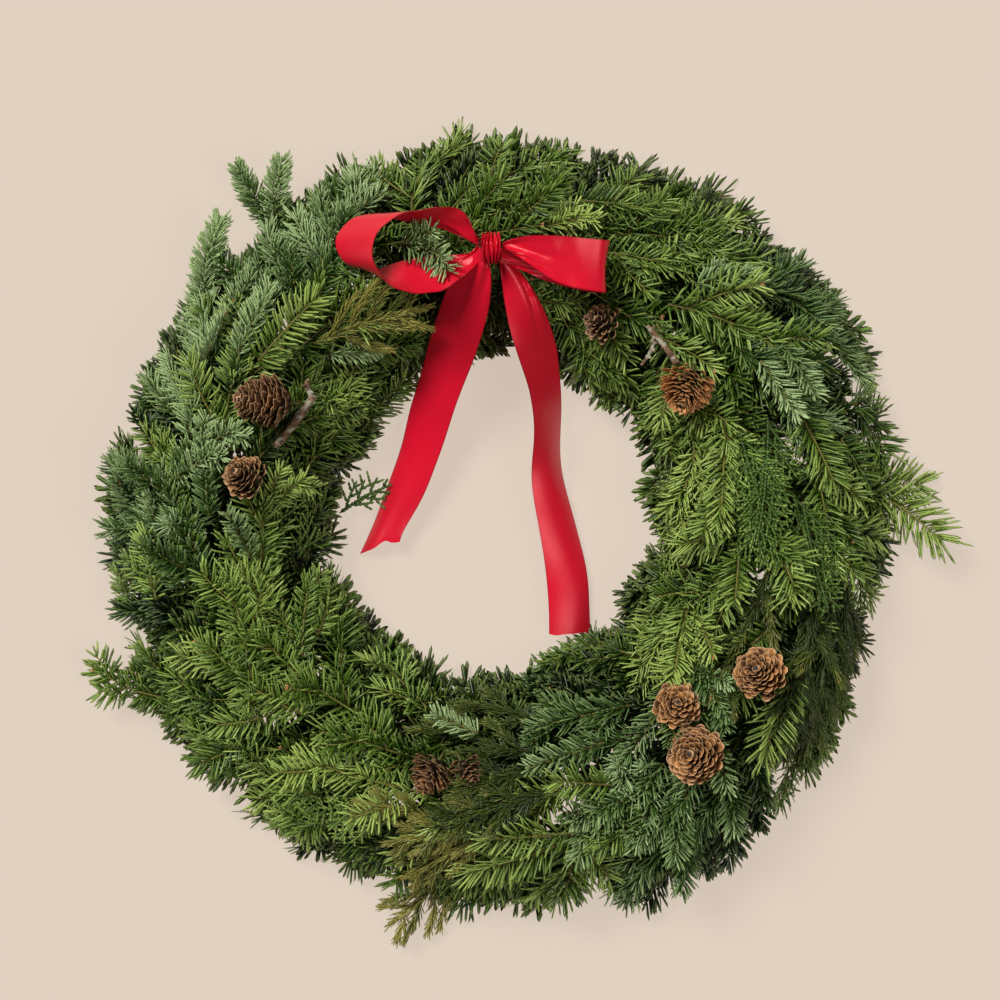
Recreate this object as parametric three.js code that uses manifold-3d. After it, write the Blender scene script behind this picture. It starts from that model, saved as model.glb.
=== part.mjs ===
// Fresh evergreen wreath with a red satin bow, lying on its back. Millimetres.
// +Z is out of the wreath's face, +Y is the top of the wreath and +X its right side.
// The bunches are numbered like the hours of a clock: 12 at the top, 3 at the right.
// Their tips run clockwise, and each bunch leans over the stems of the next one.

import * as THREE from 'three';
import { mergeVertices } from 'three/addons/utils/BufferGeometryUtils.js';
import Module from 'manifold-3d';

const wasm = await Module();
wasm.setup();

const gap = 0.4; // between pieces that touch

// Wire frame
const outerRailRadius = 176;
const innerRailRadius = 140;
const railWire = 4;
const railSteps = 60;
const railSides = 6;
const strapCount = 4;
const strapLength = 48;
const strapWidth = 12;
const strapThickness = 1.6;
const railHeight = strapThickness + gap + railWire / 2;

// Greens
const hourCount = 12;
const hourTurn = (2 * Math.PI) / hourCount;
const crownRadius = 190; // where the inner and the outer sprays meet
const channelRadius = 133; // the frame lies in a channel between here and the crown
const channelHeight = 7;
const greensGap = 2; // between one bunch and the next
const crownGap = 5; // between the inner and the outer spray of a bunch
const lean = 0.8; // how far a bunch leans clockwise for each millimetre of height
const flare = 7; // how far the tips spread past the reach, and the roots stay behind it
const rootSwell = 0.82; // height of a bunch at its root, as a share of its height at the tip
const spraySteps = 6;
const sprigSteps = 8;
const twigSides = 7;
const stemFullness = 0.22; // width of a sprig at its stem, as a share of its full width
const outerReach = [267, 273, 295, 274, 279, 303, 276, 270, 266, 276, 261, 266]; // at 12, 1, 2 ... 11 o'clock
const innerReach = [125, 122, 124, 114, 113, 111, 121, 107, 111, 109, 105, 123];
const innerSlope = [[0, 9], [0.5, 26], [1, 42], [1.5, 64], [2, 78]]; // 0 the hole, 1 the channel, 2 the crown
const outerSlope = [[0, 78], [0.3, 75], [0.62, 60], [0.86, 36], [1, 12]]; // 0 the crown, 1 the outer edge

// Binding wire
const bindingWire = 1;
const bindingTop = 34; // where it crosses the stems
const bindingWidth = 24; // of that crossing
const bindingBeside = 5; // how far it passes the middle of each rail
const wireSides = 6;

// Bow
const ribbonWidth = 38;
const ribbonThickness = 1.2;
const gatheredWidth = 18; // of a tail where it leaves the knot
const gatheredShare = 0.2; // of a tail's length, over which it opens to its full width
const tailSteps = 22;
const bowHeight = 86; // underside of the bow on the crown
const knot = { x: -1, y: 189, width: 18, length: 26, height: 24 };
const leftLoopSize = { length: 92, opening: 62, depth: 27, lean: 0.97, gap: 8 };
const rightLoopSize = { length: 74, opening: 26, drop: 7, height: 15 };
const loopFullness = 0.6; // how far the strands of a loop bulge, as a share of its opening
const loopSteps = 10;

const materials = {
  noble_fir: finish('#4f6b52', 0.62),
  grand_fir: finish('#4c7029', 0.55),
  cedar: finish('#3f5a2c', 0.65),
  juniper: finish('#4a4c2c', 0.7),
  cone: finish('#8b6242', 0.8),
  bark: finish('#85725d', 0.9),
  satin: finish('#cd1628', 0.35),
  frameWire: finish('#2c3a2b', 0.45, 0.7),
  tieWire: finish('#3a4a34', 0.4, 0.8),
};

const wreath = new THREE.Group();

function finish(color, roughness, metalness = 0) {
  return new THREE.MeshStandardMaterial({ color, roughness, metalness });
}

function add(name, geometry, material) {
  const mesh = new THREE.Mesh(geometry, material);
  mesh.name = name;
  wreath.add(mesh);
  return mesh;
}

// Hours run clockwise from the top, and the turn from +X runs anticlockwise.
function hourToTurn(hour) {
  return Math.PI / 2 - hour * hourTurn;
}

// A point at a radius and an hour, shifted sideways along the clock's direction.
function onClock(radius, hour, height, shift = 0) {
  const turn = hourToTurn(hour);
  return new THREE.Vector3(
    radius * Math.cos(turn) + shift * Math.sin(turn),
    radius * Math.sin(turn) - shift * Math.cos(turn),
    height,
  );
}

// A value listed for each hour, eased between the hours.
function atHour(list, hour) {
  const around = ((hour % hourCount) + hourCount) % hourCount;
  const before = Math.floor(around);
  const ease = THREE.MathUtils.smoothstep(around - before, 0, 1);
  return THREE.MathUtils.lerp(list[before], list[(before + 1) % hourCount], ease);
}

// Height of the greens at a radius, taken from the slopes.
function crownAt(radius) {
  const slope = radius < crownRadius ? innerSlope : outerSlope;
  const marks = radius < crownRadius
    ? [Math.min(...innerReach), channelRadius, crownRadius]
    : [crownRadius, Math.max(...outerReach)];
  const radii = slope.map(([mark]) => radiusAtMark(marks, mark));
  const next = radii.findIndex((value) => value >= radius);
  if (next < 1) {
    return slope.at(next)[1];
  }
  const share = (radius - radii[next - 1]) / (radii[next] - radii[next - 1]);
  return THREE.MathUtils.lerp(slope[next - 1][1], slope[next][1], share);
}

function radiusAtMark(marks, mark) {
  const before = Math.min(Math.floor(mark), marks.length - 2);
  return THREE.MathUtils.lerp(marks[before], marks[before + 1], mark - before);
}

function movePoints(geometry, move) {
  const points = geometry.attributes.position;
  const point = new THREE.Vector3();
  for (let i = 0; i < points.count; i += 1) {
    point.fromBufferAttribute(points, i);
    move(point);
    points.setXYZ(i, point.x, point.y, point.z);
  }
  return geometry;
}

// One spray: a section of slope and underside, drawn as mark and height, carried along one hour.
function spray(hour, section, marksAt) {
  const shape = new THREE.Shape(section.map(([mark, height]) => new THREE.Vector2(mark, height)));
  const solid = new THREE.ExtrudeGeometry(shape, { depth: 1, steps: spraySteps, bevelEnabled: false });
  return movePoints(solid, (point) => {
    const along = point.z; // 0 at the root, 1 at the tip
    const clock = hour - 0.5 + along;
    const spread = flare * (2 * along - 1);
    const swell = THREE.MathUtils.lerp(rootSwell, 1, Math.min(1, 2 * along));
    const height = point.y <= channelHeight ? point.y : channelHeight + (point.y - channelHeight) * swell;
    const shift = lean * height + greensGap * (0.5 - along);
    point.copy(onClock(radiusAtMark(marksAt(clock, spread), point.x), clock, height, shift));
  });
}

function innerSpray(hour) {
  const section = [[0, 0], [1, 0], [1, channelHeight], [2, channelHeight], ...innerSlope.toReversed()];
  return spray(hour, section, (clock, spread) => [
    atHour(innerReach, clock) - spread / 2,
    channelRadius,
    crownRadius - crownGap / 2,
  ]);
}

function outerSpray(hour) {
  const section = [[0, 0], [1, 0], ...outerSlope.toReversed()];
  return spray(hour, section, (clock, spread) => [
    crownRadius + crownGap / 2,
    atHour(outerReach, clock) + spread,
  ]);
}

// Bends a unit piece that stands along Y to a curve: X goes across it and Z is its thickness.
function bendAlong(geometry, points, widthAt, thicknessAt, tiltAt = () => 0) {
  const curve = new THREE.CatmullRomCurve3(points.map(([x, y, z]) => new THREE.Vector3(x, y, z)));
  const up = new THREE.Vector3(0, 0, 1);
  return movePoints(geometry, (point) => {
    const share = THREE.MathUtils.clamp(point.y + 0.5, 0, 1);
    const tangent = curve.getTangentAt(share);
    const across = new THREE.Vector3().crossVectors(tangent, up).normalize();
    across.applyAxisAngle(tangent, THREE.MathUtils.degToRad(tiltAt(share)));
    const out = new THREE.Vector3().crossVectors(across, tangent);
    const x = point.x * widthAt(share);
    const z = point.z * thicknessAt(share);
    point.copy(curve.getPointAt(share)).addScaledVector(across, x).addScaledVector(out, z);
  });
}

// A leaf-shaped sprig: narrow at its stem, widest past the middle, blunt at the tip.
function sprig(points, width, thickness) {
  const round = new THREE.CylinderGeometry(0.5, 0.5, 1, sprigSteps, sprigSteps);
  const fullness = (share) => {
    const place = 0.06 + 0.86 * share ** 1.3;
    return THREE.MathUtils.lerp(stemFullness, 1, Math.sin(Math.PI * place));
  };
  const widthAt = (share) => width * fullness(share);
  const thicknessAt = (share) => thickness * THREE.MathUtils.lerp(0.4, 1, fullness(share));
  return bendAlong(round, points, widthAt, thicknessAt);
}

function twig(points, thickEnd, thinEnd) {
  const round = new THREE.CylinderGeometry(0.5, 0.5, 1, twigSides, sprigSteps);
  const width = (share) => THREE.MathUtils.lerp(thickEnd, thinEnd, share);
  return bendAlong(round, points, width, width);
}

// A tail: the middle line of the ribbon, and its tilts in degrees from the knot to its end.
function ribbonStrip(points, tilts) {
  const strip = new THREE.BoxGeometry(1, 1, 1, 1, tailSteps, 1);
  const tilt = (share) => {
    const place = share * (tilts.length - 1);
    const before = Math.min(Math.floor(place), tilts.length - 2);
    return THREE.MathUtils.lerp(tilts[before], tilts[before + 1], place - before);
  };
  const opened = (share) => Math.min(1, share / gatheredShare);
  const width = (share) => THREE.MathUtils.lerp(gatheredWidth, ribbonWidth, opened(share));
  return bendAlong(strip, points, width, () => ribbonThickness, tilt);
}

function toSolid(geometry) {
  const bare = geometry.clone();
  bare.deleteAttribute('normal');
  bare.deleteAttribute('uv');
  const merged = mergeVertices(bare);
  return new wasm.Manifold(new wasm.Mesh({
    numProp: 3,
    vertProperties: new Float32Array(merged.attributes.position.array),
    triVerts: new Uint32Array(merged.index.array),
  }));
}

function joined(...geometries) {
  const solid = geometries.map(toSolid).reduce((sum, next) => sum.add(next));
  const mesh = solid.getMesh();
  const geometry = new THREE.BufferGeometry();
  geometry.setAttribute('position', new THREE.BufferAttribute(mesh.vertProperties, 3));
  geometry.setIndex(new THREE.BufferAttribute(mesh.triVerts, 1));
  return geometry;
}

// A course of straight stretches from point to point.
class StraightCourse extends THREE.Curve {
  constructor(points, closed) {
    super();
    this.points = closed ? [...points, points[0]] : points;
  }

  getPoint(share, target = new THREE.Vector3()) {
    const place = share * (this.points.length - 1);
    const before = Math.min(Math.floor(place), this.points.length - 2);
    return target.lerpVectors(this.points[before], this.points[before + 1], place - before);
  }

  getPointAt(share, target) {
    return this.getPoint(share, target);
  }

  getTangentAt(share, target) {
    return this.getTangent(share, target);
  }
}

function wire(points, diameter, closed = false) {
  const course = new StraightCourse(points, closed);
  const section = new THREE.Shape();
  section.absarc(0, 0, diameter / 2, 0, 2 * Math.PI);
  return new THREE.ExtrudeGeometry(section, {
    steps: course.points.length - 1,
    curveSegments: wireSides / 2,
    extrudePath: course,
    bevelEnabled: false,
  });
}

// Frame

function makeRail(name, radius) {
  const rail = new THREE.TorusGeometry(radius, railWire / 2, railSides, railSteps);
  rail.translate(0, 0, railHeight);
  add(name, rail, materials.frameWire);
}

makeRail('frame_outer_rail', outerRailRadius);
makeRail('frame_inner_rail', innerRailRadius);

const strapHours = Array.from({ length: strapCount }, (_, index) => (index * hourCount) / strapCount);
for (const hour of strapHours) {
  const strap = new THREE.BoxGeometry(strapLength, strapWidth, strapThickness);
  strap.translate((outerRailRadius + innerRailRadius) / 2, 0, strapThickness / 2);
  strap.rotateZ(hourToTurn(hour));
  add(`frame_strap_${hour || hourCount}_oclock`, strap, materials.frameWire);
}

// Greens

const kinds = [
  { hour: 12, inner: 'grand_fir', outer: 'grand_fir' },
  { hour: 1, inner: 'grand_fir', outer: 'grand_fir' },
  { hour: 2, inner: 'grand_fir', outer: 'noble_fir' },
  { hour: 3, inner: 'cedar', outer: 'cedar' },
  { hour: 4, inner: 'grand_fir', outer: 'juniper' },
  { hour: 5, inner: 'noble_fir', outer: 'noble_fir' },
  { hour: 6, inner: 'juniper', outer: 'grand_fir' },
  { hour: 7, inner: 'grand_fir', outer: 'cedar' },
  { hour: 8, inner: 'grand_fir', outer: 'grand_fir' },
  { hour: 9, inner: 'cedar', outer: 'noble_fir' },
  { hour: 10, inner: 'grand_fir', outer: 'noble_fir' },
  { hour: 11, inner: 'cedar', outer: 'noble_fir' },
];
for (const { hour, inner, outer } of kinds) {
  const number = String(hour).padStart(2, '0');
  add(`${inner}_inner_spray_${number}`, innerSpray(hour), materials[inner]);
  add(`${outer}_outer_spray_${number}`, outerSpray(hour), materials[outer]);
}

// The binding wire goes once round the frame and the stems in each gap between two bunches,
// and runs on to the next gap between the two rails.
function bindingPath() {
  const middle = (outerRailRadius + innerRailRadius) / 2;
  const under = (bindingWire + gap) / 2;
  const turn = [
    [middle, railHeight],
    [outerRailRadius - bindingBeside, under],
    [outerRailRadius + bindingBeside, under],
    [outerRailRadius + bindingBeside + bindingWire, bindingTop / 2],
    [middle + bindingWidth / 2, bindingTop],
    [middle - bindingWidth / 2, bindingTop],
    [innerRailRadius - bindingBeside - bindingWire, bindingTop / 2],
    [innerRailRadius - bindingBeside, under],
    [innerRailRadius + bindingBeside, under],
  ];
  return kinds.flatMap(({ hour }) => [
    ...turn.map(([radius, height]) => onClock(radius, hour - 0.5, height, lean * height)),
    onClock(middle, hour - 0.35, railHeight),
    onClock(middle, hour, railHeight),
  ]);
}
add('binding_wire', wire(bindingPath(), bindingWire, true), materials.tieWire);

// Sprigs that stand out of the mass

const sprigs = [
  {
    name: 'grand_fir_sprig_3_oclock',
    course: [[276.5, 4, 9], [306, 2, 18], [341, -6, 24]],
    width: 62,
    thickness: 12,
    kind: 'grand_fir',
  },
  {
    name: 'grand_fir_sprig_8_oclock',
    course: [[-232.5, -135, 9], [-262, -128, 18], [-294, -112, 22]],
    width: 26,
    thickness: 12,
    kind: 'grand_fir',
  },
  {
    name: 'cedar_sprig_7_oclock',
    course: [[-41, -279, 8], [-62, -295, 14], [-80, -309, 14]],
    width: 26,
    thickness: 10,
    kind: 'cedar',
  },
  {
    name: 'noble_fir_sprig_10_oclock',
    course: [[-221, 151, 12], [-219, 186, 26], [-200, 217, 34]],
    width: 24,
    thickness: 20,
    kind: 'noble_fir',
  },
  {
    name: 'noble_fir_sprig_11_oclock',
    course: [[-157, 216, 12], [-163, 238, 24], [-156, 256, 30]],
    width: 30,
    thickness: 18,
    kind: 'noble_fir',
  },
  {
    name: 'cedar_sprig_9_oclock',
    course: [[-104.5, 9, 7], [-94, 14, 11], [-80, 20, 12]],
    width: 24,
    thickness: 6,
    kind: 'cedar',
  },
  {
    name: 'cedar_sprig_left_of_bow',
    course: [[-112, 130, 75], [-86, 136, 77], [-44, 146, 76]],
    width: 26,
    thickness: 8,
    kind: 'juniper',
  },
  {
    name: 'noble_fir_tip_in_bow',
    course: [[-60, 182, 85], [-44, 186, 88], [-28, 190, 90]],
    width: 18,
    thickness: 9,
    kind: 'noble_fir',
  },
];
for (const { name, course, width, thickness, kind } of sprigs) {
  add(name, sprig(course, width, thickness), materials[kind]);
}

// Cones: where each stands, its size, which way its tip points (degrees from +X) and how far it is raised

const cones = [
  { x: -163, y: 81, length: 38, radius: 17, heading: 178, rise: 24 },
  { x: -175, y: 28, length: 27, radius: 13.5, heading: 205, rise: 66 },
  { x: 76, y: 138, length: 24, radius: 12, heading: 160, rise: 50 },
  { x: 136, y: 87, length: 30, radius: 16, heading: 265, rise: 38 },
  { x: 187, y: -109, length: 27, radius: 17, heading: 130, rise: 64 },
  { x: 130, y: -132, length: 24, radius: 14.5, heading: 90, rise: 74 },
  { x: 142, y: -167, length: 29, radius: 19, heading: 165, rise: 62 },
  { x: -45, y: -183, length: 30, radius: 13, heading: 235, rise: 30 },
  { x: -17, y: -181, length: 22, radius: 10, heading: 300, rise: 35 },
];

const coneRows = 6;
const coneSides = 12;
const stalk = { length: 2, radius: 1.6, inside: 0.6 };

// Rows of scales step in and out on the way from the stalk to the tip.
function coneProfile(length, radius) {
  const points = [[0, -stalk.length], [stalk.radius, -stalk.length], [stalk.radius, stalk.inside]];
  for (let row = 0; row < coneRows; row += 1) {
    const share = (row + 0.5) / coneRows;
    const edge = radius * Math.sin(Math.PI * (0.22 + 0.68 * share)) ** 0.8;
    points.push([edge, length * share]);
    points.push([edge * 0.78, length * (share + 0.3 / coneRows)]);
  }
  points.push([0, length]);
  return points.map(([x, y]) => new THREE.Vector2(x, y));
}

cones.forEach(({ x, y, length, radius, heading, rise }, index) => {
  const cone = new THREE.LatheGeometry(coneProfile(length, radius), coneSides);
  cone.translate(0, -length / 2, 0);
  cone.rotateZ(THREE.MathUtils.degToRad(rise - 90));
  cone.rotateX(Math.PI / 2);
  cone.rotateZ(THREE.MathUtils.degToRad(heading));
  cone.computeBoundingBox();
  const outermost = Math.hypot(x, y) + (Math.hypot(x, y) < crownRadius ? radius : -radius);
  const seat = Math.max(crownAt(outermost), crownAt(Math.hypot(x, y))) + gap;
  cone.translate(x, y, seat - cone.boundingBox.min.z);
  add(`larch_cone_${index + 1}`, cone, materials.cone);
});

// Bare larch twigs

const leftTwig = joined(
  twig([[-154, 49, 72], [-137, 71, 69], [-126, 86, 68]], 4.4, 3),
  twig([[-127, 84, 68], [-131, 91, 70], [-131, 97, 71]], 3, 2.2),
);
add('larch_twig_10_oclock', leftTwig, materials.bark);

const rightTwig = joined(
  twig([[110, 135, 76], [122, 121, 76], [131, 108, 78]], 2.6, 4.2),
  twig([[115, 129, 76], [113, 118, 75], [106, 107, 72]], 3, 1.8),
);
add('larch_twig_2_oclock', rightTwig, materials.bark);

// Bow

// A loop of ribbon seen on its edge, with its fold at the length and its two ends at the knot.
function bowLoop(length, opening) {
  const bulge = opening * loopFullness;
  const inside = bulge - 2 * ribbonThickness;
  const early = length * 0.4;
  const fold = length - ribbonThickness;
  const outline = new THREE.Shape();
  outline.moveTo(0, -2.5 * ribbonThickness);
  outline.bezierCurveTo(early, -bulge, length, -bulge, length, 0);
  outline.bezierCurveTo(length, bulge, early, bulge, 0, 2.5 * ribbonThickness);
  outline.closePath();
  const hole = new THREE.Path();
  hole.moveTo(2 * ribbonThickness, -ribbonThickness);
  hole.bezierCurveTo(early, -inside, fold, -inside, fold, 0);
  hole.bezierCurveTo(fold, inside, early, inside, 2 * ribbonThickness, ribbonThickness);
  hole.closePath();
  outline.holes.push(hole);
  return outline;
}

function extrudeLoop({ length, opening }, depth) {
  const shape = bowLoop(length, opening);
  return new THREE.ExtrudeGeometry(shape, { depth, bevelEnabled: false, curveSegments: loopSteps });
}

const knotBody = new THREE.SphereGeometry(0.5, 12, 8);
knotBody.scale(knot.width, knot.length, knot.height);
knotBody.translate(knot.x, knot.y, bowHeight + knot.height / 2);
add('bow_knot', knotBody, materials.satin);

// The left loop stands on one edge of the ribbon. Its fold leans to the right as it rises.
const leftLoop = extrudeLoop(leftLoopSize, leftLoopSize.depth);
leftLoop.rotateZ(Math.PI);
movePoints(leftLoop, (point) => {
  const share = -point.x / leftLoopSize.length; // 0 at the knot, 1 at the fold
  point.x += leftLoopSize.lean * point.z * share;
});
leftLoop.translate(knot.x - knot.width / 2 - leftLoopSize.gap, knot.y, bowHeight);
add('bow_left_loop', leftLoop, materials.satin);

// The right loop lies flat, with the face of the ribbon up.
const rightLoop = extrudeLoop(rightLoopSize, ribbonWidth);
rightLoop.rotateX(Math.PI / 2);
rightLoop.translate(
  knot.x + knot.width / 2 + gap,
  knot.y + ribbonWidth / 2 - rightLoopSize.drop,
  bowHeight + rightLoopSize.height,
);
add('bow_right_loop', rightLoop, materials.satin);

const leftTail = ribbonStrip(
  [
    [-9, 173, 95], [-14, 158, 89], [-21, 141, 77], [-27, 124, 60], [-38, 95, 38],
    [-48, 65, 23], [-58, 35, 15], [-71, 4, 11], [-84, -22, 9],
  ],
  [0, 8, 14, 20, 22, 20, 16],
);
add('bow_left_tail', leftTail, materials.satin);

const rightTail = ribbonStrip(
  [
    [13, 174, 87], [18, 158, 84], [24, 143, 77], [28, 124, 62], [36, 105, 48], [39, 85, 36],
    [41, 55, 24], [43, 25, 19], [51, -16, 14], [56, -47, 12], [58, -84, 9],
  ],
  [0, -10, -30, -50, -56, -42, -32, -24, -20],
);
add('bow_right_tail', rightTail, materials.satin);

// The bow's wire runs down between the bunches at 12 and 11 o'clock to the frame.
const bowWirePoints = [84, 66, 48, 38].map((height) => onClock(168, 11.5, height, lean * height));
add('bow_wire', wire(bowWirePoints, bindingWire), materials.tieWire);

// The origin is the middle of the wreath's outline, on the surface that it lies on.
const outline = new THREE.Box3().setFromObject(wreath, true);
const middle = outline.getCenter(new THREE.Vector3());
wreath.position.set(-middle.x, -middle.y, -outline.min.z);

export default wreath;
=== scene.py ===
# Fresh evergreen wreath with larch cones and a red satin bow, lying on its back.
# Places are in millimetres from the middle of the wire frame; place() brings them into the part's own frame.
import math
import bpy
import numpy as np
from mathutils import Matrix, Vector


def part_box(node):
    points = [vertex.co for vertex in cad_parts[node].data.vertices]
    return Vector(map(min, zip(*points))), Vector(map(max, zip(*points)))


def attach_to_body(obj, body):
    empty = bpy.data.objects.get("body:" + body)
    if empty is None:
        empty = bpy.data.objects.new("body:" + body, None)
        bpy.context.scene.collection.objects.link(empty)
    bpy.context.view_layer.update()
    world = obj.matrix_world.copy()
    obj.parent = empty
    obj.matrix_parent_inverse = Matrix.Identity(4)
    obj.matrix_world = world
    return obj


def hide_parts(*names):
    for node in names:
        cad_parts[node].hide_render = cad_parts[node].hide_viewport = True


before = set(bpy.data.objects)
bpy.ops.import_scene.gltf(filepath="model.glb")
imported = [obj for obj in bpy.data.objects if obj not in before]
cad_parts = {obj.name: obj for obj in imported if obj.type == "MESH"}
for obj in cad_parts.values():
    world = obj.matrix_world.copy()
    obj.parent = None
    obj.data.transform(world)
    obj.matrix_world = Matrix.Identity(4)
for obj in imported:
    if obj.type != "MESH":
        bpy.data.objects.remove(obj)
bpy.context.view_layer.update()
scene = bpy.context.scene

railLow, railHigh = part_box("frame_outer_rail")
ringCentre = np.array([(railLow.x + railHigh.x) / 2, (railLow.y + railHigh.y) / 2, 0.0])
bakeMap = "OFBake"  # the UV map that the colours are read through
seeds = {"bunches": 40, "singles": 700, "cones": 900, "twigs": 960}


def place(points):
    return np.asarray(points, float) * 0.001 + ringCentre


def unit(vectors):
    vectors = np.asarray(vectors, float)
    return vectors / np.maximum(np.linalg.norm(vectors, axis=-1, keepdims=True), 1e-9)


def deselectAll():
    if bpy.context.mode != "OBJECT":
        bpy.ops.object.mode_set(mode="OBJECT")
    bpy.ops.object.select_all(action="DESELECT")


# Sets sockets by name or number, or links them where the value is another socket.
def fill(tree, node, settings):
    for label, value in settings.items():
        if isinstance(value, bpy.types.NodeSocket):
            tree.links.new(value, node.inputs[label])
        else:
            node.inputs[label].default_value = value


def addNode(tree, kind, settings):
    node = tree.nodes.new(kind)
    fill(tree, node, settings)
    return node


def newMaterial(name):
    material = bpy.data.materials.new(name)
    material.use_nodes = True
    tree = material.node_tree
    return material, tree, tree.nodes["Principled BSDF"]


studio = {
    "cameraPlace": (5.76, 11.52, 1950),  # above the middle of the photo
    "lens": 95.25,
    "sensor": 36,
    "sight": 20,  # how far the camera sees, in metres
    "floorSize": 30,
    "floorDrop": 0.0005,
    "floorColor": (0.768, 0.649, 0.543),
    "floorShare": 0.16,  # of its brightness that comes from the lights, the rest is its own
    "floorGlow": 0.795,
    "lamps": {"keyLight": ((-1.4, 1.5, 2.3), 24, 3.4), "fillLight": ((1.6, -0.9, 2.2), 28, 1.15)},
    "skyColor": (1.0, 0.97, 0.9),
    "skyStrength": 0.08,
    "wallColor": (0.776, 0.651, 0.546),  # what shows behind the wreath from the side
}


def makeStudio():
    deselectAll()
    bpy.ops.object.camera_add(location=place(studio["cameraPlace"]), rotation=(0, 0, 0))
    camera = bpy.context.object
    camera.data.lens = studio["lens"]
    camera.data.sensor_width = studio["sensor"]
    camera.data.clip_end = studio["sight"]
    scene.camera = camera

    bpy.ops.mesh.primitive_plane_add(size=studio["floorSize"], location=(0, 0, -studio["floorDrop"]))
    floor = bpy.context.object
    floor.name = "floor"
    matt = [value * studio["floorShare"] for value in studio["floorColor"]]
    material, tree, shader = newMaterial("paleFloor")
    fill(tree, shader, {
        "Base Color": (*matt, 1), "Roughness": 0.9, "Specular IOR Level": 0.1,
        "Emission Color": (*studio["floorColor"], 1), "Emission Strength": studio["floorGlow"],
    })
    floor.data.materials.append(material)

    for name, (spot, wide, strength) in studio["lamps"].items():  # place in metres, width in degrees
        bpy.ops.object.light_add(type="SUN", location=spot)
        lamp = bpy.context.object
        lamp.name = name
        lamp.data.angle = math.radians(wide)
        lamp.data.energy = strength
        lamp.rotation_euler = lamp.location.to_track_quat("Z", "Y").to_euler()

    world = bpy.data.worlds.new("studioSky")
    scene.world = world
    world.use_nodes = True
    tree = world.node_tree
    sky = tree.nodes["Background"]
    fill(tree, sky, {"Color": (*studio["skyColor"], 1), "Strength": studio["skyStrength"]})
    wall = addNode(tree, "ShaderNodeBackground", {"Color": (*studio["wallColor"], 1)})
    forCamera = tree.nodes.new("ShaderNodeLightPath").outputs["Is Camera Ray"]  # so it gives no light
    seen = addNode(tree, "ShaderNodeMixShader", {0: forCamera, 1: sky.outputs[0], 2: wall.outputs[0]})
    fill(tree, tree.nodes["World Output"], {"Surface": seen.outputs[0]})
    scene.view_settings.view_transform = "Standard"


makeStudio()
print("studio ready")


def mixColors(tree, share, first, second):
    node = tree.nodes.new("ShaderNodeMix")
    node.data_type = "RGBA"
    fill(tree, node, {0: share, 6: first, 7: second})
    return node.outputs[2]


def calculate(tree, operation, first, second=0.0):
    node = addNode(tree, "ShaderNodeMath", {0: first, 1: second})
    node.operation = operation
    return node.outputs[0]


def spread(tree, value, low, high, newLow=0.0, newHigh=1.0):
    return addNode(tree, "ShaderNodeMapRange", {0: value, 1: low, 2: high, 3: newLow, 4: newHigh}).outputs[0]


def bakeCoordinates(tree):
    uv = tree.nodes.new("ShaderNodeUVMap")
    uv.uv_map = bakeMap
    return uv.outputs[0]


def splitAxes(tree, vector):
    return addNode(tree, "ShaderNodeSeparateXYZ", {0: vector}).outputs


def noisePattern(tree, vector, scale, detail, stretch=(1, 1, 1)):
    mapping = addNode(tree, "ShaderNodeMapping", {0: vector, "Scale": stretch})
    settings = {"Vector": mapping.outputs[0], "Scale": scale, "Detail": detail}
    return addNode(tree, "ShaderNodeTexNoise", settings).outputs["Fac"]


def addBump(tree, shader, height, strength, distance):
    bump = addNode(tree, "ShaderNodeBump", {"Strength": strength, "Distance": distance, "Height": height})
    fill(tree, shader, {"Normal": bump.outputs[0]})


# The bake map is a palette: u holds the side, upper or lower, and the tone,
# and v holds the kind and the way from base to tip.
palette = {
    "tones": 12,
    "bands": {
        "nobleFir": 0.0, "grandFir": 0.15, "cedar": 0.3, "juniper": 0.45, "stem": 0.62, "bud": 0.82,
        "coneScale": 0.0, "bark": 0.0,
    },
    "heights": {"stem": 0.18, "bud": 0.17, "coneScale": 0.6},
    "height": 0.15,
    "colors": ("Dark", "Middle", "Light", "Underside", "Base", "Tip"),
    "values": ("Band Start", "Band Height", "Tip Share", "Tip From", "Base Share", "Base To", "Rim Share"),
    "flecks": (90, 60, 1),
    "underShare": 0.55,
    "rim": (0.24, 0.4),  # where the rim starts and ends, out of half of the width
}


def bandOf(kind):
    return palette["bands"][kind], palette["heights"].get(kind, palette["height"])


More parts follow.
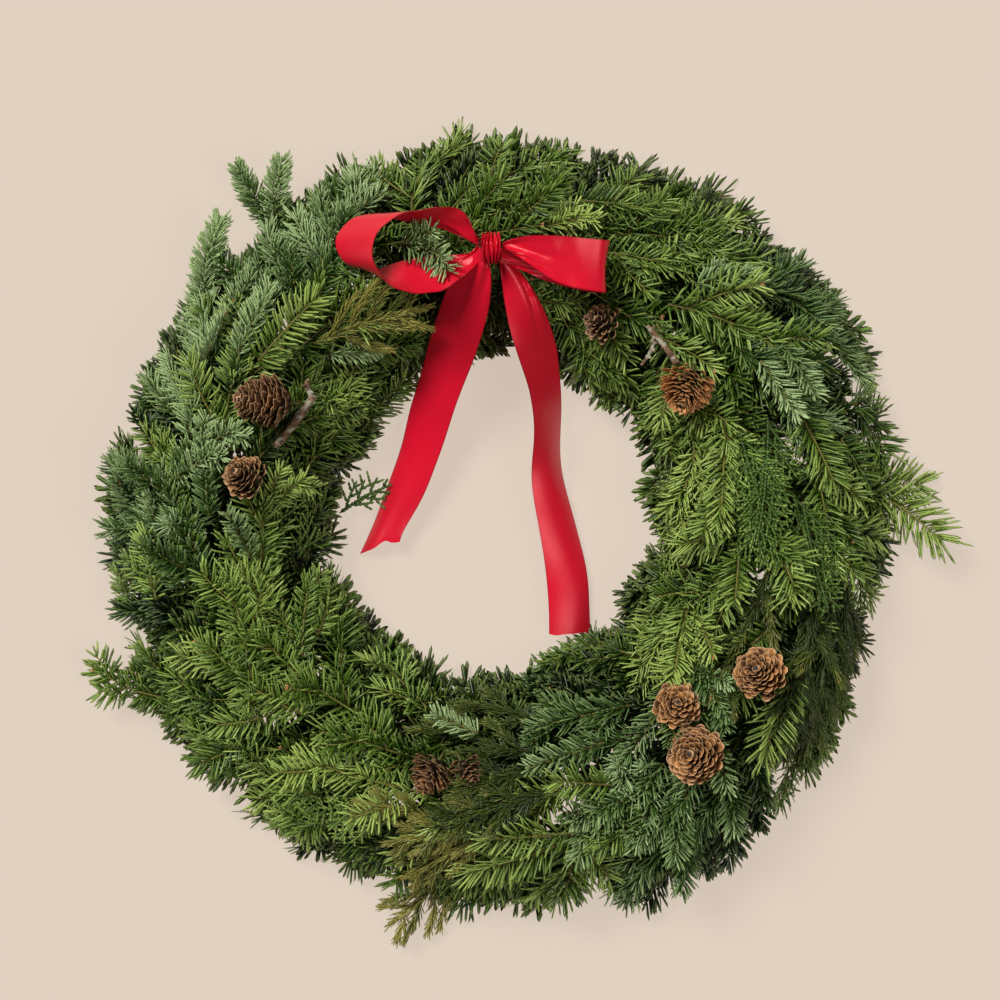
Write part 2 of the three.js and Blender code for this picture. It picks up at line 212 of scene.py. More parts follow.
def paletteGroup():
    group = bpy.data.node_groups.new("paletteTone", "ShaderNodeTree")
    for labels, kind in ((palette["colors"], "NodeSocketColor"), (palette["values"], "NodeSocketFloat")):
        for label in labels:
            group.interface.new_socket(name=label, in_out="INPUT", socket_type=kind)
    group.interface.new_socket(name="Color", in_out="OUTPUT", socket_type="NodeSocketColor")
    given = group.nodes.new("NodeGroupInput").outputs
    u, v, _ = splitAxes(group, bakeCoordinates(group))
    under = calculate(group, "GREATER_THAN", u, 0.5)
    doubled = calculate(group, "FRACT", calculate(group, "MULTIPLY", u, 2.0))
    columns = calculate(group, "MULTIPLY", doubled, palette["tones"])
    tone = calculate(group, "DIVIDE", calculate(group, "FLOOR", columns), palette["tones"] - 1)
    along = calculate(group, "SUBTRACT", v, given["Band Start"])
    along = calculate(group, "DIVIDE", along, given["Band Height"])
    fromMiddle = calculate(group, "SUBTRACT", calculate(group, "FRACT", columns), 0.5)
    fromMiddle = calculate(group, "ABSOLUTE", fromMiddle)
    # Painted light: the Tip colour lightens the outer end of each needle and scale, and the rim share
    # lightens a cone scale's side edges; on cone scales this is partly their own paler edge.
    atTip = calculate(group, "MULTIPLY", spread(group, along, given["Tip From"], 1.0), given["Tip Share"])
    # Painted shade: the Base colour darkens each needle, stem, bud and cone scale towards its base, where its
    # neighbours shade it.
    baseShade = calculate(group, "MULTIPLY", spread(group, along, given["Base To"], 0.0), given["Base Share"])
    atRim = calculate(group, "MULTIPLY", spread(group, fromMiddle, *palette["rim"]), given["Rim Share"])
    color = mixColors(group, spread(group, tone, 0.0, 0.5), given["Dark"], given["Middle"])
    color = mixColors(group, spread(group, tone, 0.5, 1.0), color, given["Light"])
    for share, label in (
        (calculate(group, "MULTIPLY", under, palette["underShare"]), "Underside"), (atTip, "Tip"),
        (baseShade, "Base"), (atRim, "Tip"),
    ):
        color = mixColors(group, share, color, given[label])
    addNode(group, "NodeGroupOutput", {"Color": color})
    return group


toneGroup = paletteGroup()


def paletteMaterial(name, kind, colors, tip, base, roughness, speckle=0.0, rim=0.0):
    material, tree, shader = newMaterial(name)
    node = tree.nodes.new("ShaderNodeGroup")
    node.node_tree = toneGroup
    fill(tree, node, {label: (*color, 1) for label, color in colors.items()})
    fill(tree, node, dict(zip(palette["values"], (*bandOf(kind), *tip, *base, rim))))
    color = node.outputs["Color"]
    if speckle:
        flecks = noisePattern(tree, bakeCoordinates(tree), 1.0, 3.0, palette["flecks"])
        grey = spread(tree, flecks, 0.3, 0.7, 1 - speckle, 1 + speckle * 0.6)
        darker = tree.nodes.new("ShaderNodeVectorMath")
        darker.operation = "SCALE"
        fill(tree, darker, {0: color, "Scale": grey})
        color = darker.outputs[0]
    fill(tree, shader, {"Base Color": color, "Roughness": roughness, "Specular IOR Level": 0.4})
    return material


greenColors = {
    "nobleFir": {
        "Dark": (0.003, 0.014, 0.003), "Middle": (0.056, 0.126, 0.017), "Light": (0.437, 0.572, 0.257),
        "Underside": (0.22, 0.33, 0.15), "Base": (0.03, 0.05, 0.004), "Tip": (0.32, 0.43, 0.15),
    },
    "grandFir": {
        "Dark": (0.003, 0.014, 0.001), "Middle": (0.068, 0.14, 0.01), "Light": (0.38, 0.5, 0.11),
        "Underside": (0.16, 0.26, 0.08), "Base": (0.035, 0.055, 0.003), "Tip": (0.31, 0.41, 0.09),
    },
    "cedar": {
        "Dark": (0.004, 0.018, 0.003), "Middle": (0.055, 0.12, 0.012), "Light": (0.29, 0.4, 0.08),
        "Underside": (0.1, 0.17, 0.04), "Base": (0.05, 0.06, 0.01), "Tip": (0.28, 0.38, 0.09),
    },
    "juniper": {
        "Dark": (0.006, 0.013, 0.002), "Middle": (0.055, 0.09, 0.012), "Light": (0.33, 0.29, 0.06),
        "Underside": (0.07, 0.1, 0.025), "Base": (0.05, 0.05, 0.008), "Tip": (0.12, 0.15, 0.035),
    },
    "stem": {
        "Dark": (0.02, 0.018, 0.004), "Middle": (0.11, 0.11, 0.018), "Light": (0.3, 0.26, 0.045),
        "Underside": (0.06, 0.055, 0.015), "Base": (0.1, 0.07, 0.018), "Tip": (0.18, 0.21, 0.04),
    },
    "bud": {
        "Dark": (0.14, 0.06, 0.025), "Middle": (0.42, 0.17, 0.05), "Light": (0.5, 0.3, 0.12),
        "Underside": (0.3, 0.13, 0.05), "Base": (0.16, 0.08, 0.03), "Tip": (0.55, 0.35, 0.16),
    },
}
greenMaterials = {}
# The tip share paints light at the tip of each needle, stem and bud, and the base share paints shade at its
# base.
for kind, colors in greenColors.items():
    woody = kind in ("stem", "bud")
    greenMaterials[kind] = paletteMaterial(
        kind + ("Bark" if woody else "Green"), kind, colors, tip=(0.45, 0.55), base=(0.75, 0.42),
        roughness=0.75 if woody else 0.34, speckle=0.35 if woody else 0.0)


def finishShape(name):
    bpy.ops.mesh.select_all(action="SELECT")
    bpy.ops.mesh.normals_make_consistent(inside=False)
    bpy.ops.mesh.quads_convert_to_tris()
    bpy.ops.object.mode_set(mode="OBJECT")
    piece = bpy.context.object
    piece.name = name
    mesh = piece.data
    points = np.array([v.co for v in mesh.vertices])
    faces = np.array([tuple(f.vertices) for f in mesh.polygons])
    normals = np.array([f.normal for f in mesh.polygons])
    bpy.data.objects.remove(piece)
    corners = points[faces]
    wide = np.ptp(points[:, 0])
    uv = np.stack([0.5 + 0.84 * corners[..., 0] / wide, 0.05 + 0.9 * np.clip(corners[..., 1], 0, 1)], -1)
    flat = np.ptp(uv[..., 1], axis=1) < 0.01  # the cap at the base has no length of its own
    uv[flat, :, 1] += 0.04 * (corners[flat][..., 2] - corners[flat][..., 2].min(axis=1, keepdims=True)) / 0.5
    return {"points": points, "faces": faces, "uv": uv, "under": normals[:, 2] < -0.05}


# A ring of corners that is drawn out along +Y, ring by ring: (place, width, height, lift).
def drawOut(name, corners, rings, tip):
    deselectAll()
    bpy.ops.mesh.primitive_circle_add(
        vertices=corners, radius=0.5, fill_type="NGON", rotation=(math.pi / 2, 0, 0))
    bpy.ops.object.transform_apply(location=False, rotation=True, scale=False)
    bpy.ops.object.mode_set(mode="EDIT")
    bpy.ops.mesh.select_all(action="SELECT")
    first = rings[0]
    bpy.ops.transform.resize(value=(first[1], 1, first[2]), center_override=(0, 0, 0))
    for before, ring in zip(rings, rings[1:]):
        bpy.ops.mesh.extrude_region_move(
            TRANSFORM_OT_translate={"value": (0, ring[0] - before[0], ring[3] - before[3])})
        bpy.ops.transform.resize(
            value=(ring[1] / before[1], 1, ring[2] / before[2]), center_override=(0, ring[0], ring[3]))
    last = rings[-1]
    bpy.ops.mesh.extrude_region_move(TRANSFORM_OT_translate={"value": (0, tip - last[0], -last[3])})
    bpy.ops.mesh.merge(type="CENTER")
    return finishShape(name)


shapes = {
    "needle": drawOut("needle", 3, [(0, 0.5, 0.8, 0), (0.28, 1.0, 1.0, 0), (0.86, 0.95, 0.85, 0)], 1),
    "scaleLeaf": drawOut("scaleLeaf", 4, [(0, 0.5, 0.6, 0), (0.6, 1.15, 1.0, 0.04)], 1.12),
    "bud": drawOut("bud", 5, [(0, 0.6, 0.6, 0), (0.35, 1.0, 1.0, 0), (0.75, 0.7, 0.7, 0)], 1),
    "coneScale": drawOut("coneScale", 8, [
        (0, 0.35, 1.0, 0), (0.35, 0.78, 1.0, 0), (0.7, 1.0, 0.8, 0),
        (0.9, 0.82, 0.6, 0), (0.98, 0.45, 0.4, 0),
    ], 1),
}
print("needle, scale leaf, bud and cone scale modelled")


def newPile():
    return {"points": [], "faces": [], "uv": [], "kinds": [], "count": 0}


def stack(pile, points, faces, uv, kind):
    pile["points"].append(points)
    pile["faces"].append(faces + pile["count"])
    pile["uv"].append(uv)
    pile["kinds"].append((kind, len(faces)))
    pile["count"] += len(points)


# Copies of a shape: X across, Y ahead, Z up. Their tips are moved by the bends, and their sides cupped up.
def addCopies(pile, shape, spots, ahead, up, sizes, tones, kind, bends=None, cup=0.0):
    if len(spots) == 0:
        return
    ahead = unit(ahead)
    side = unit(np.cross(ahead, up))
    up = np.cross(side, ahead)
    local = shape["points"][None] * sizes[:, None, :]
    local[..., 2] += cup * shape["points"][None, :, 0] ** 2 * sizes[:, 0:1]
    points = (spots[:, None] + local[..., 0:1] * side[:, None] + local[..., 1:2] * ahead[:, None]
              + local[..., 2:3] * up[:, None])
    if bends is not None:
        points += bends[:, None] * shape["points"][None, :, 1:2] ** 2
    each = len(shape["points"])
    faces = shape["faces"][None] + (np.arange(len(spots)) * each)[:, None, None]
    column = np.clip(np.round(tones * (palette["tones"] - 1)), 0, palette["tones"] - 1)
    u = (column[:, None, None] + shape["uv"][None, ..., 0]) / palette["tones"] / 2
    u = u + 0.5 * shape["under"][None, :, None]
    low, height = bandOf(kind)
    v = np.broadcast_to(low + height * shape["uv"][None, ..., 1], u.shape)
    stack(pile, points.reshape(-1, 3), faces.reshape(-1, 3), np.stack([u, v], -1).reshape(-1, 3, 2), kind)


# A round stem along a line, with its ends closed. The radii are spread evenly over its length.
def addStem(pile, line, radii, tone, kind="stem", sides=5):
    line = np.asarray(line, float)
    count = len(line)
    ahead = unit(np.gradient(line, axis=0))
    side = unit(np.cross(ahead, np.where(np.abs(ahead[:, 2:]) > 0.95, [[1.0, 0, 0]], [[0, 0, 1.0]])))
    up = np.cross(side, ahead)
    turn = np.arange(sides) * 2 * np.pi / sides
    radius = np.interp(np.linspace(0, 1, count), np.linspace(0, 1, len(radii)), radii)[:, None, None]
    points = line[:, None] + radius * (
        np.cos(turn)[None, :, None] * side[:, None] + np.sin(turn)[None, :, None] * up[:, None])
    points = np.concatenate([points.reshape(-1, 3), line[:1], line[-1:]])
    ring, corner = np.meshgrid(np.arange(count - 1), np.arange(sides), indexing="ij")
    after = (corner + 1) % sides
    a, b = ring * sides + corner, ring * sides + after
    c, d = a + sides, b + sides
    walls = np.concatenate([np.stack([a, b, d], -1).reshape(-1, 3), np.stack([a, d, c], -1).reshape(-1, 3)])
    corner, after = np.arange(sides), (np.arange(sides) + 1) % sides
    start, last = count * sides, (count - 1) * sides
    caps = np.concatenate([
        np.stack([after, corner, np.full(sides, start)], -1),
        np.stack([last + corner, last + after, np.full(sides, start + 1)], -1),
    ])
    width = 1 / palette["tones"] / 2
    column = round(np.clip(tone, 0, 1) * (palette["tones"] - 1)) * width
    low, height = bandOf(kind)
    ring, corner = ring.ravel(), np.tile(np.arange(sides), count - 1)
    here, beside, above, across = (
        np.stack([column + width * (0.1 + 0.75 * (corner + right) / sides),
                  low + height * (0.05 + 0.9 * (ring + up) / (count - 1))], -1)
        for right, up in ((0, 0), (1, 0), (0, 1), (1, 1)))
    cap = np.array([[0.1, 0.05], [0.6, 0.05], [0.3, 0.12]]) * [width, height] + [column, low]
    wallMaps = [np.stack(corners, 1) for corners in ((here, beside, across), (here, across, above))]
    uv = np.concatenate([*wallMaps, np.tile(cap, (2 * sides, 1, 1))])
    stack(pile, points, np.concatenate([walls, caps]), uv, kind)


# The bow presses down the greens that it lies on.
press = {
    "below": 3, "reach": 8, "edge": 5, "every": 0.4, "share": 0.9,
    "left": -124, "right": 100, "end": -100, "floor": 8,  # nothing past these is near it
}


def pressed(points):
    x, y, z = points.T
    near = (z > press["floor"]) & (x > press["left"]) & (x < press["right"]) & (y > press["end"])
    held = points[near]
    for setup in (leftLoop, rightLoop, leftTail, rightTail):
        edges = np.array(setup["edges"], float)
        marks = np.arange(0, len(edges) - 1, press["every"])
        for pair in np.stack([throughPoints(edges[:, 0], marks), throughPoints(edges[:, 1], marks)], axis=1):
            middle, half = pair.mean(axis=0), (pair[1] - pair[0]) / 2
            along = np.clip((held[:, :2] - middle[:2]) @ half[:2] / (half[:2] @ half[:2]), -1, 1)[:, None]
            away = np.linalg.norm(held[:, :2] - middle[:2] - along * half[:2], axis=1)
            over = np.clip(held[:, 2] - middle[2] - along[:, 0] * half[2] + press["below"], 0, None)
            fade = np.clip((press["reach"] + press["edge"] - away) / press["edge"], 0, 1)
            held[:, 2] -= press["share"] * over * fade
    points[near] = held
    return points


floorGap = 0.0004  # no piece comes nearer to the floor


def makePiece(name, pile, node, materials=greenMaterials):
    points = np.concatenate(pile["points"])
    points = place(pressed(points) if "_spray_" in name else points)
    points[:, 2] = np.maximum(points[:, 2], floorGap)
    mesh = bpy.data.meshes.new(name)
    mesh.from_pydata(points, [], np.concatenate(pile["faces"]), shade_flat=False)
    kinds = list(dict.fromkeys(kind for kind, _ in pile["kinds"]))
    for kind in kinds:
        mesh.materials.append(materials[kind])
    slots = [np.full(count, kinds.index(kind), np.int32) for kind, count in pile["kinds"]]
    mesh.polygons.foreach_set("material_index", np.concatenate(slots))
    layer = mesh.uv_layers.new(name=bakeMap)
    layer.data.foreach_set("uv", np.concatenate(pile["uv"]).astype(np.float32).ravel())
    mesh.update()
    piece = bpy.data.objects.new(name, mesh)
    scene.collection.objects.link(piece)
    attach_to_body(piece, "root")
    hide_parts(node)
    return piece


# A smooth line through points, sampled at marks that count the points.
def throughPoints(points, marks):
    points = np.asarray(points, float)
    ends = np.concatenate([2 * points[:1] - points[1:2], points, 2 * points[-1:] - points[-2:-1]])
    index = np.clip(np.floor(marks).astype(int), 0, len(points) - 2)
    t = (marks - index)[:, None]
    a, b, c, d = (ends[index + i] for i in range(4))
    curve = (c - a) * t + (2 * a - 5 * b + 4 * c - d) * t ** 2 + (3 * b - a - 3 * c + d) * t ** 3
    return 0.5 * (2 * b + curve)


satin = {
    "color": (0.68, 0.006, 0.026),
    "shade": (0.52, 0.003, 0.016),
    "selvedge": (0.36, 0.002, 0.01),
    "selvedgeShare": 0.018,  # of the width, at each edge
    "slub": (22, 1.2, 1),
    "weave": (60, 9, 1),
    "width": 38,
    "thickness": 0.35,
    "across": 17,  # points over the width
    "step": 2.4,
    "gloss": {
        "Roughness": 0.3, "Anisotropic": 0.55,
        "Specular IOR Level": 0.8, "Specular Tint": (1.0, 0.36, 0.36, 1),
        "Sheen Weight": 0.08, "Sheen Roughness": 0.4, "Sheen Tint": (1.0, 0.25, 0.3, 1),
    },
}


def satinMaterial():
    material, tree, shader = newMaterial("redSatin")
    uv = bakeCoordinates(tree)
    body, shade, selvedge = ((*satin[label], 1) for label in ("color", "shade", "selvedge"))
    slub = noisePattern(tree, uv, 6.0, 4.0, satin["slub"])
    color = mixColors(tree, spread(tree, slub, 0.35, 0.7, 0.0, 0.35), body, shade)
    fromMiddle = calculate(tree, "ABSOLUTE", calculate(tree, "SUBTRACT", splitAxes(tree, uv)[0], 0.5))
    fromEdge = calculate(tree, "SUBTRACT", 0.5, fromMiddle)
    edge = spread(tree, fromEdge, satin["selvedgeShare"] * 1.3, satin["selvedgeShare"] * 0.7)
    tangent = tree.nodes.new("ShaderNodeTangent")
    tangent.direction_type = "UV_MAP"
    tangent.uv_map = bakeMap
    color = mixColors(tree, edge, color, selvedge)
    fill(tree, shader, {"Base Color": color, "Tangent": tangent.outputs[0], **satin["gloss"]})
    addBump(tree, shader, noisePattern(tree, uv, 9.0, 2.0, satin["weave"]), 0.12, 0.0004)
    return material


redSatin = satinMaterial()


# Takes the small waves out of a line and leaves its ends where they are.
def evened(line, times):
    line = line.copy()
    for _ in range(times):
        line[1:-1] = 0.5 * line[1:-1] + 0.25 * (line[:-2] + line[2:])
    return line


# A ribbon through pairs of edge points. It is cupped where it is squeezed and pleated where it is gathered.
# Pleats are (from the start, reach, count, lean, phase), and ripples (size, length, slant, phase).
# A cut is (place over the width, how far the end is drawn out there).
def makeRibbon(node, setup):
    edges = np.array(setup["edges"], float)
    dense = np.linspace(0, len(edges) - 1, 600)
    middle = throughPoints(edges.mean(1), dense)
    away = np.concatenate([[0], np.cumsum(np.linalg.norm(np.diff(middle, axis=0), axis=1))])
    steps = int(away[-1] / setup.get("step", satin["step"]))
    marks = np.interp(np.linspace(0, away[-1], steps), away, dense)
    left, right = (evened(throughPoints(edges[:, side], marks), setup.get("evening", 12)) for side in (0, 1))
    across = setup.get("across", satin["across"])
    share = np.linspace(0, 1, across)
    distance = np.linspace(0, away[-1], steps)[:, None]
    surface = left[:, None] + (right - left)[:, None] * share[None, :, None]
    wide = np.linalg.norm(right - left, axis=1)[:, None]
    along = np.gradient(0.5 * (left + right), axis=0)
    normal = unit(np.cross(along, right - left))
    if setup.get("closed"):
        normal[0] = normal[-1] = unit(normal[1] + normal[-2])
    spare = np.clip(satin["width"] - wide, 0, None)
    cup = np.sqrt(3 * wide * spare / 8) * setup["cup"]
    depth = cup * (4 * share * (1 - share) - 0.5)[None]
    for fromStart, reach, count, lean, phase in setup["pleats"]:
        gap = distance if fromStart else away[-1] - distance
        fade = np.exp(-(gap / reach) ** 2)
        height = wide / (np.pi * count) * np.sqrt(np.clip(satin["width"] / wide - 1, 0, 4))
        height = height * setup.get("pleatDepth", 0.62)  # less than it could be, so that it stays smooth
        wander = 0.3 * np.sin(2 * np.pi * (2 * gap / away[-1] + 0.9 * share[None]))
        fold = np.sin(2 * np.pi * (count * share[None] + lean * gap / 40 + wander) + phase)
        depth = depth * (1 - 0.6 * fade) + fade * height * fold
    towardsEdges = 0.4 + 0.6 * np.abs(2 * share[None] - 1)
    for size, waveLength, slant, phase in setup["ripples"]:
        wave = np.sin(2 * np.pi * (distance / waveLength + slant * share[None]) + phase)
        depth = depth + size * wave * np.clip(distance / 12, 0, 1) * towardsEdges
    surface = surface + normal[:, None] * depth[..., None]
    nearEnd = np.clip(1 - (away[-1] - distance) / 26, 0, 1) ** 2
    for mark, extra in setup.get("cut", []):
        pull = np.exp(-((share - mark) / 0.16) ** 2)[None, :] * nearEnd
        surface = surface + unit(along)[:, None] * (extra * pull)[..., None]
    deselectAll()
    bpy.ops.mesh.primitive_grid_add(x_subdivisions=across - 1, y_subdivisions=steps - 1, size=1)
    piece = bpy.context.object
    piece.name = node + "_satin"
    mesh = piece.data
    flat = np.array([v.co for v in mesh.vertices])
    column = np.round((flat[:, 0] + 0.5) * (across - 1)).astype(int)
    row = np.round((flat[:, 1] + 0.5) * (steps - 1)).astype(int)
    mesh.vertices.foreach_set("co", place(surface[row, column]).astype(np.float32).ravel())
    mesh.uv_layers[0].name = bakeMap
    mesh.update()
    if setup.get("closed"):
        bpy.ops.object.mode_set(mode="EDIT")
        bpy.ops.mesh.select_all(action="SELECT")
        bpy.ops.mesh.remove_doubles(threshold=0.0001)
        bpy.ops.object.mode_set(mode="OBJECT")
    wall = piece.modifiers.new("thickness", "SOLIDIFY")
    wall.thickness = satin["thickness"] * 0.001
    wall.offset = 0
    bpy.ops.object.modifier_apply(modifier="thickness")
    bpy.ops.object.shade_smooth_by_angle(angle=math.radians(60))
    mesh.materials.append(redSatin)
    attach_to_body(piece, "root")
    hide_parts(node)
    return piece


# Edges are pairs of points, from the knot outwards.
leftLoop = {
    "edges": [
        ((-10, 193, 104), (-8, 190, 96)), ((-16, 208, 112), (-33, 201, 90)),
        ((-33, 215, 113), (-58, 207, 87)), ((-62, 210, 113), (-91, 213, 87)),
        ((-82, 195, 113), (-109, 200, 87)), ((-81, 176, 113), (-106, 181, 87)),
        ((-67, 158, 112), (-87, 173, 85)), ((-50, 155, 112), (-63, 181, 85)),
        ((-31, 159, 109), (-41, 183, 87)), ((-14, 172, 103), (-20, 184, 92)),
        ((-7, 179, 100), (-10, 187, 96)),
    ],
    "cup": 0.25,
    "pleats": [(True, 26, 2, 0.1, 0.4), (False, 24, 2, -0.1, 1.0)],
    "ripples": [(0.7, 46, 0.3, 0.5), (0.35, 21, -0.5, 2.0)],
}
rightLoop = {
    "edges": [
        ((7, 191, 104), (8, 187, 104)), ((22, 195, 110), (22, 179, 109)), ((47, 195, 114), (44, 163, 112)),
        ((71, 193, 110), (68, 157, 110)), ((84, 193, 100), (82, 156, 100)), ((69, 192, 91), (66, 158, 91)),
        ((34, 190, 90), (37, 166, 90)), ((20, 189, 94), (25, 171, 93)), ((6, 188, 99), (6, 178, 99)),
    ],
    "cup": 0.4,
    "pleats": [(True, 34, 2, 0.0, 2.6), (False, 26, 2, 0.1, 0.0)],
    "ripples": [(0.8, 52, 0.25, 1.0), (0.3, 19, -0.4, 0.0)],
}
leftTail = {
    "edges": [
        ((-10, 189, 100), (-4, 185, 102)), ((-24, 177, 97), (0, 171, 98)), ((-35, 153, 78), (-3, 143, 83)),
        ((-44, 129, 53), (-11, 118, 63)), ((-52, 104, 32), (-21, 94, 45)), ((-60, 79, 19), (-31, 68, 33)),
        ((-67, 53, 11), (-40, 42, 25)), ((-76, 26, 7), (-50, 16, 19)), ((-86, 0, 5), (-66, -10, 16)),
        ((-98, -28, 5), (-68, -19, 15)),
    ],
    "cup": 0.45,
    "pleats": [(True, 46, 2, 0.15, 0.6)],
    "ripples": [(0.6, 64, 0.3, 0.0)],
    "evening": 20,
    "cut": [(0.62, -4.0)],
}
rightTail = {
    "edges": [
        ((4, 185, 95), (8, 183, 94)), ((7, 169, 87), (24, 169, 84)), ((10, 150, 85), (36, 150, 74)),
        ((16, 120, 69), (47, 121, 46)), ((28, 89, 53), (50, 90, 22)), ((31, 58, 40), (51, 58, 10)),
        ((30, 26, 30), (53, 26, 8)), ((34, -6, 24), (62, -6, 6)), ((40, -38, 19), (70, -38, 6)),
        ((42, -70, 16), (72, -71, 5)), ((42, -86, 14), (73, -87, 4)),
    ],
    "cup": 0.4,
    "pleats": [(True, 52, 2, 0.1, 2.2)],
    "ripples": [(0.6, 70, 0.3, 0.8)],
    "evening": 32,
    "cut": [(0.15, 1.5), (0.8, -1.0)],
}
knot = {"centre": (-0.6, 187.8, 98.6), "reach": (9.8, 11.6), "width": (13.5, 8.5), "turns": 25}


def knotEdges():
    x, y, z = knot["centre"]
    edges = []
    for number in range(knot["turns"]):
        turn = 2 * math.pi * number / (knot["turns"] - 1) - math.pi / 2  # from underneath and round
        half = 0.5 * (knot["width"][1] + (knot["width"][0] - knot["width"][1]) * (0.5 + 0.5 * math.sin(turn)))
        spot = (y + knot["reach"][0] * math.cos(turn), z + knot["reach"][1] * math.sin(turn))
        edges.append(((x - half, *spot), (x + half, *spot)))
    return edges


bowKnot = {
    "edges": knotEdges(), "closed": True, "evening": 0, "step": 1.5, "across": 41,
    "cup": 0.1, "pleats": [(True, 900, 5, 0.585, 0.4)], "pleatDepth": 1.5, "ripples": [],
}
ribbons = {"left_loop": leftLoop, "right_loop": rightLoop, "left_tail": leftTail, "right_tail": rightTail}
for part, setup in ribbons.items():
    makeRibbon("bow_" + part, setup)
makeRibbon("bow_knot", bowKnot)
print("bow made")


greens = {
    "crownRadius": 190,
    "channelRadius": 133,
    "outerReach": [264, 273, 294, 278, 290, 302, 274, 276, 271, 280, 260, 262],  # at 12, 1, 2 ... 11 o'clock
    "innerReach": [128, 124, 132, 124, 123, 114, 128, 122, 128, 120, 108, 122],
    "innerSlope": [(0, 9), (0.5, 26), (1, 42), (1.5, 64), (2, 78)],  # 0 the hole, 1 the channel, 2 the crown
    "outerSlope": [(0, 78), (0.3, 75), (0.62, 60), (0.86, 36), (1, 12)],  # 0 the crown, 1 the outer edge
}


def reachAt(name, hours):
    marks = greens[name]
    return np.interp(hours % 12, np.arange(13), marks + marks[:1])


def hoursOf(x, y):
    return (3 - np.degrees(np.arctan2(y, x)) / 30) % 12


def greensHeight(x, y):
    radius = np.hypot(x, y)
    hours = hoursOf(x, y)
    outer, inner = reachAt("outerReach", hours), reachAt("innerReach", hours)
    crown, channel = greens["crownRadius"], greens["channelRadius"]
    beyond = np.clip((radius - crown) / (outer - crown), 0, 1)
    within = np.where(
        radius < channel, (radius - inner) / (channel - inner), 1 + (radius - channel) / (crown - channel))
    outerHeight = np.interp(beyond, *zip(*greens["outerSlope"]))
    innerHeight = np.interp(np.clip(within, 0, 2), *zip(*greens["innerSlope"]))
    return np.where(radius > crown, outerHeight, innerHeight)


def greensUp(x, y):
    step = 6.0
    dx = (greensHeight(x + step, y) - greensHeight(x - step, y)) / (2 * step)
    dy = (greensHeight(x, y + step) - greensHeight(x, y - step)) / (2 * step)
    return unit(np.stack([-dx, -dy, np.full_like(dx, 1.3)], -1))


# Turns each vector of a list round its axis.
def turnRound(vectors, axes, angle):
    return (vectors * np.cos(angle) + np.cross(axes, vectors) * np.sin(angle)
            + axes * (vectors * axes).sum(-1, keepdims=True) * (1 - np.cos(angle)))


def between(values, known, marks):
    return np.stack([np.interp(marks, known, values[:, axis]) for axis in range(3)], -1)


# Even steps along a line, with the way ahead and the way up at each.
def walk(line, up, step, start=0.0):
    away = np.concatenate([[0], np.cumsum(np.linalg.norm(np.diff(line, axis=0), axis=1))])
    marks = np.arange(start + step / 2, away[-1], step)
    if len(marks) == 0:
        marks = np.array([away[-1] / 2])
    spots = between(line, away, marks)
    ahead = unit(between(unit(np.gradient(line, axis=0)), away, marks))
    upAt = between(up, away, marks)
    upAt = unit(upAt - ahead * (upAt * ahead).sum(-1, keepdims=True))
    return spots, ahead, upAt, marks / away[-1]


# Ranks are (turn from straight up, share of the length).
# Angles are those at the base of the shoot, near its tip and at its tip.
shootKinds = {
    "nobleFir": {
        "step": 3.1, "length": 15.5, "width": 1.75, "height": 0.9, "bendUp": 0.3, "bendAhead": 0.24,
        "ranks": [(-97, 1.0), (95, 1.0), (-54, 0.9), (56, 0.9), (4, 0.6)],
        "angles": (68, 60, 36), "turnJitter": 12, "stem": (1.0, 0.6),
    },
    "grandFir": {
        "step": 3.7, "length": 20.5, "width": 2.0, "height": 0.8, "bendUp": 0.05, "bendAhead": 0.25,
        "ranks": [(-92, 1.0), (88, 1.0), (-56, 0.8), (54, 0.8)],
        "angles": (76, 68, 36), "turnJitter": 10, "stem": (1.0, 0.6),
    },
    "juniper": {
        "step": 1.8, "length": 12.0, "width": 1.05, "height": 0.75, "bendUp": 0.05, "bendAhead": 0.1,
        "ranks": [(-90, 1.0), (30, 0.9), (100, 1.0), (-30, 0.8)],
        "angles": (28, 20, 16), "turnJitter": 22, "stem": (0.9, 0.5),
    },
}
starRanks = [(turn, 1.0) for turn in range(-150, 180, 60)]  # all round a shoot that points at the viewer


def growShoot(pile, kind, line, up, tone, rng, loose=1.0, size=1.0, broad=1.0, ranks=None):
    setup = shootKinds[kind]
    spots, ahead, upAt, share = walk(line, up, setup["step"] * loose)
    side = np.cross(ahead, upAt)
    full = 0.72 + 0.32 * np.sin(np.pi * np.clip(share * 0.85 + 0.15, 0, 1))
    for turn, part in ranks or setup["ranks"]:
        count = len(spots)
        turns = np.radians(turn + rng.normal(0, setup["turnJitter"], count))[:, None]
        out = np.cos(turns) * upAt + np.sin(turns) * side
        angle = np.interp(share, [0, 0.7, 1], setup["angles"])
        angle = np.radians(angle + rng.normal(0, 8, count))[:, None]
        way = np.cos(angle) * ahead + np.sin(angle) * out
        length = setup["length"] * size * part * full * rng.uniform(0.84, 1.1, count)
        width = setup["width"] * broad * rng.uniform(0.85, 1.15, count)
        sizes = np.stack([width, length, np.full(count, setup["height"])], -1)
        bends = (upAt * setup["bendUp"] + ahead * setup["bendAhead"]) * length[:, None] * rng.uniform(
            0.4, 1.5, (count, 1))
        jitter = rng.normal(0, 0.24, (count, 3))
        start = spots + ahead * rng.uniform(-0.5, 0.5, (count, 1)) * setup["step"]
        # Painted shade and light: each shoot is darker towards its base, down in the greens, and lighter
        # towards its tip.
        tones = tone + rng.normal(0, 0.12, count) + 0.3 * (share - 0.5)
        addCopies(pile, shapes["needle"], start, way, upAt + jitter, sizes, tones, kind, bends)


budSize = (2.2, 3.4, 2.2)


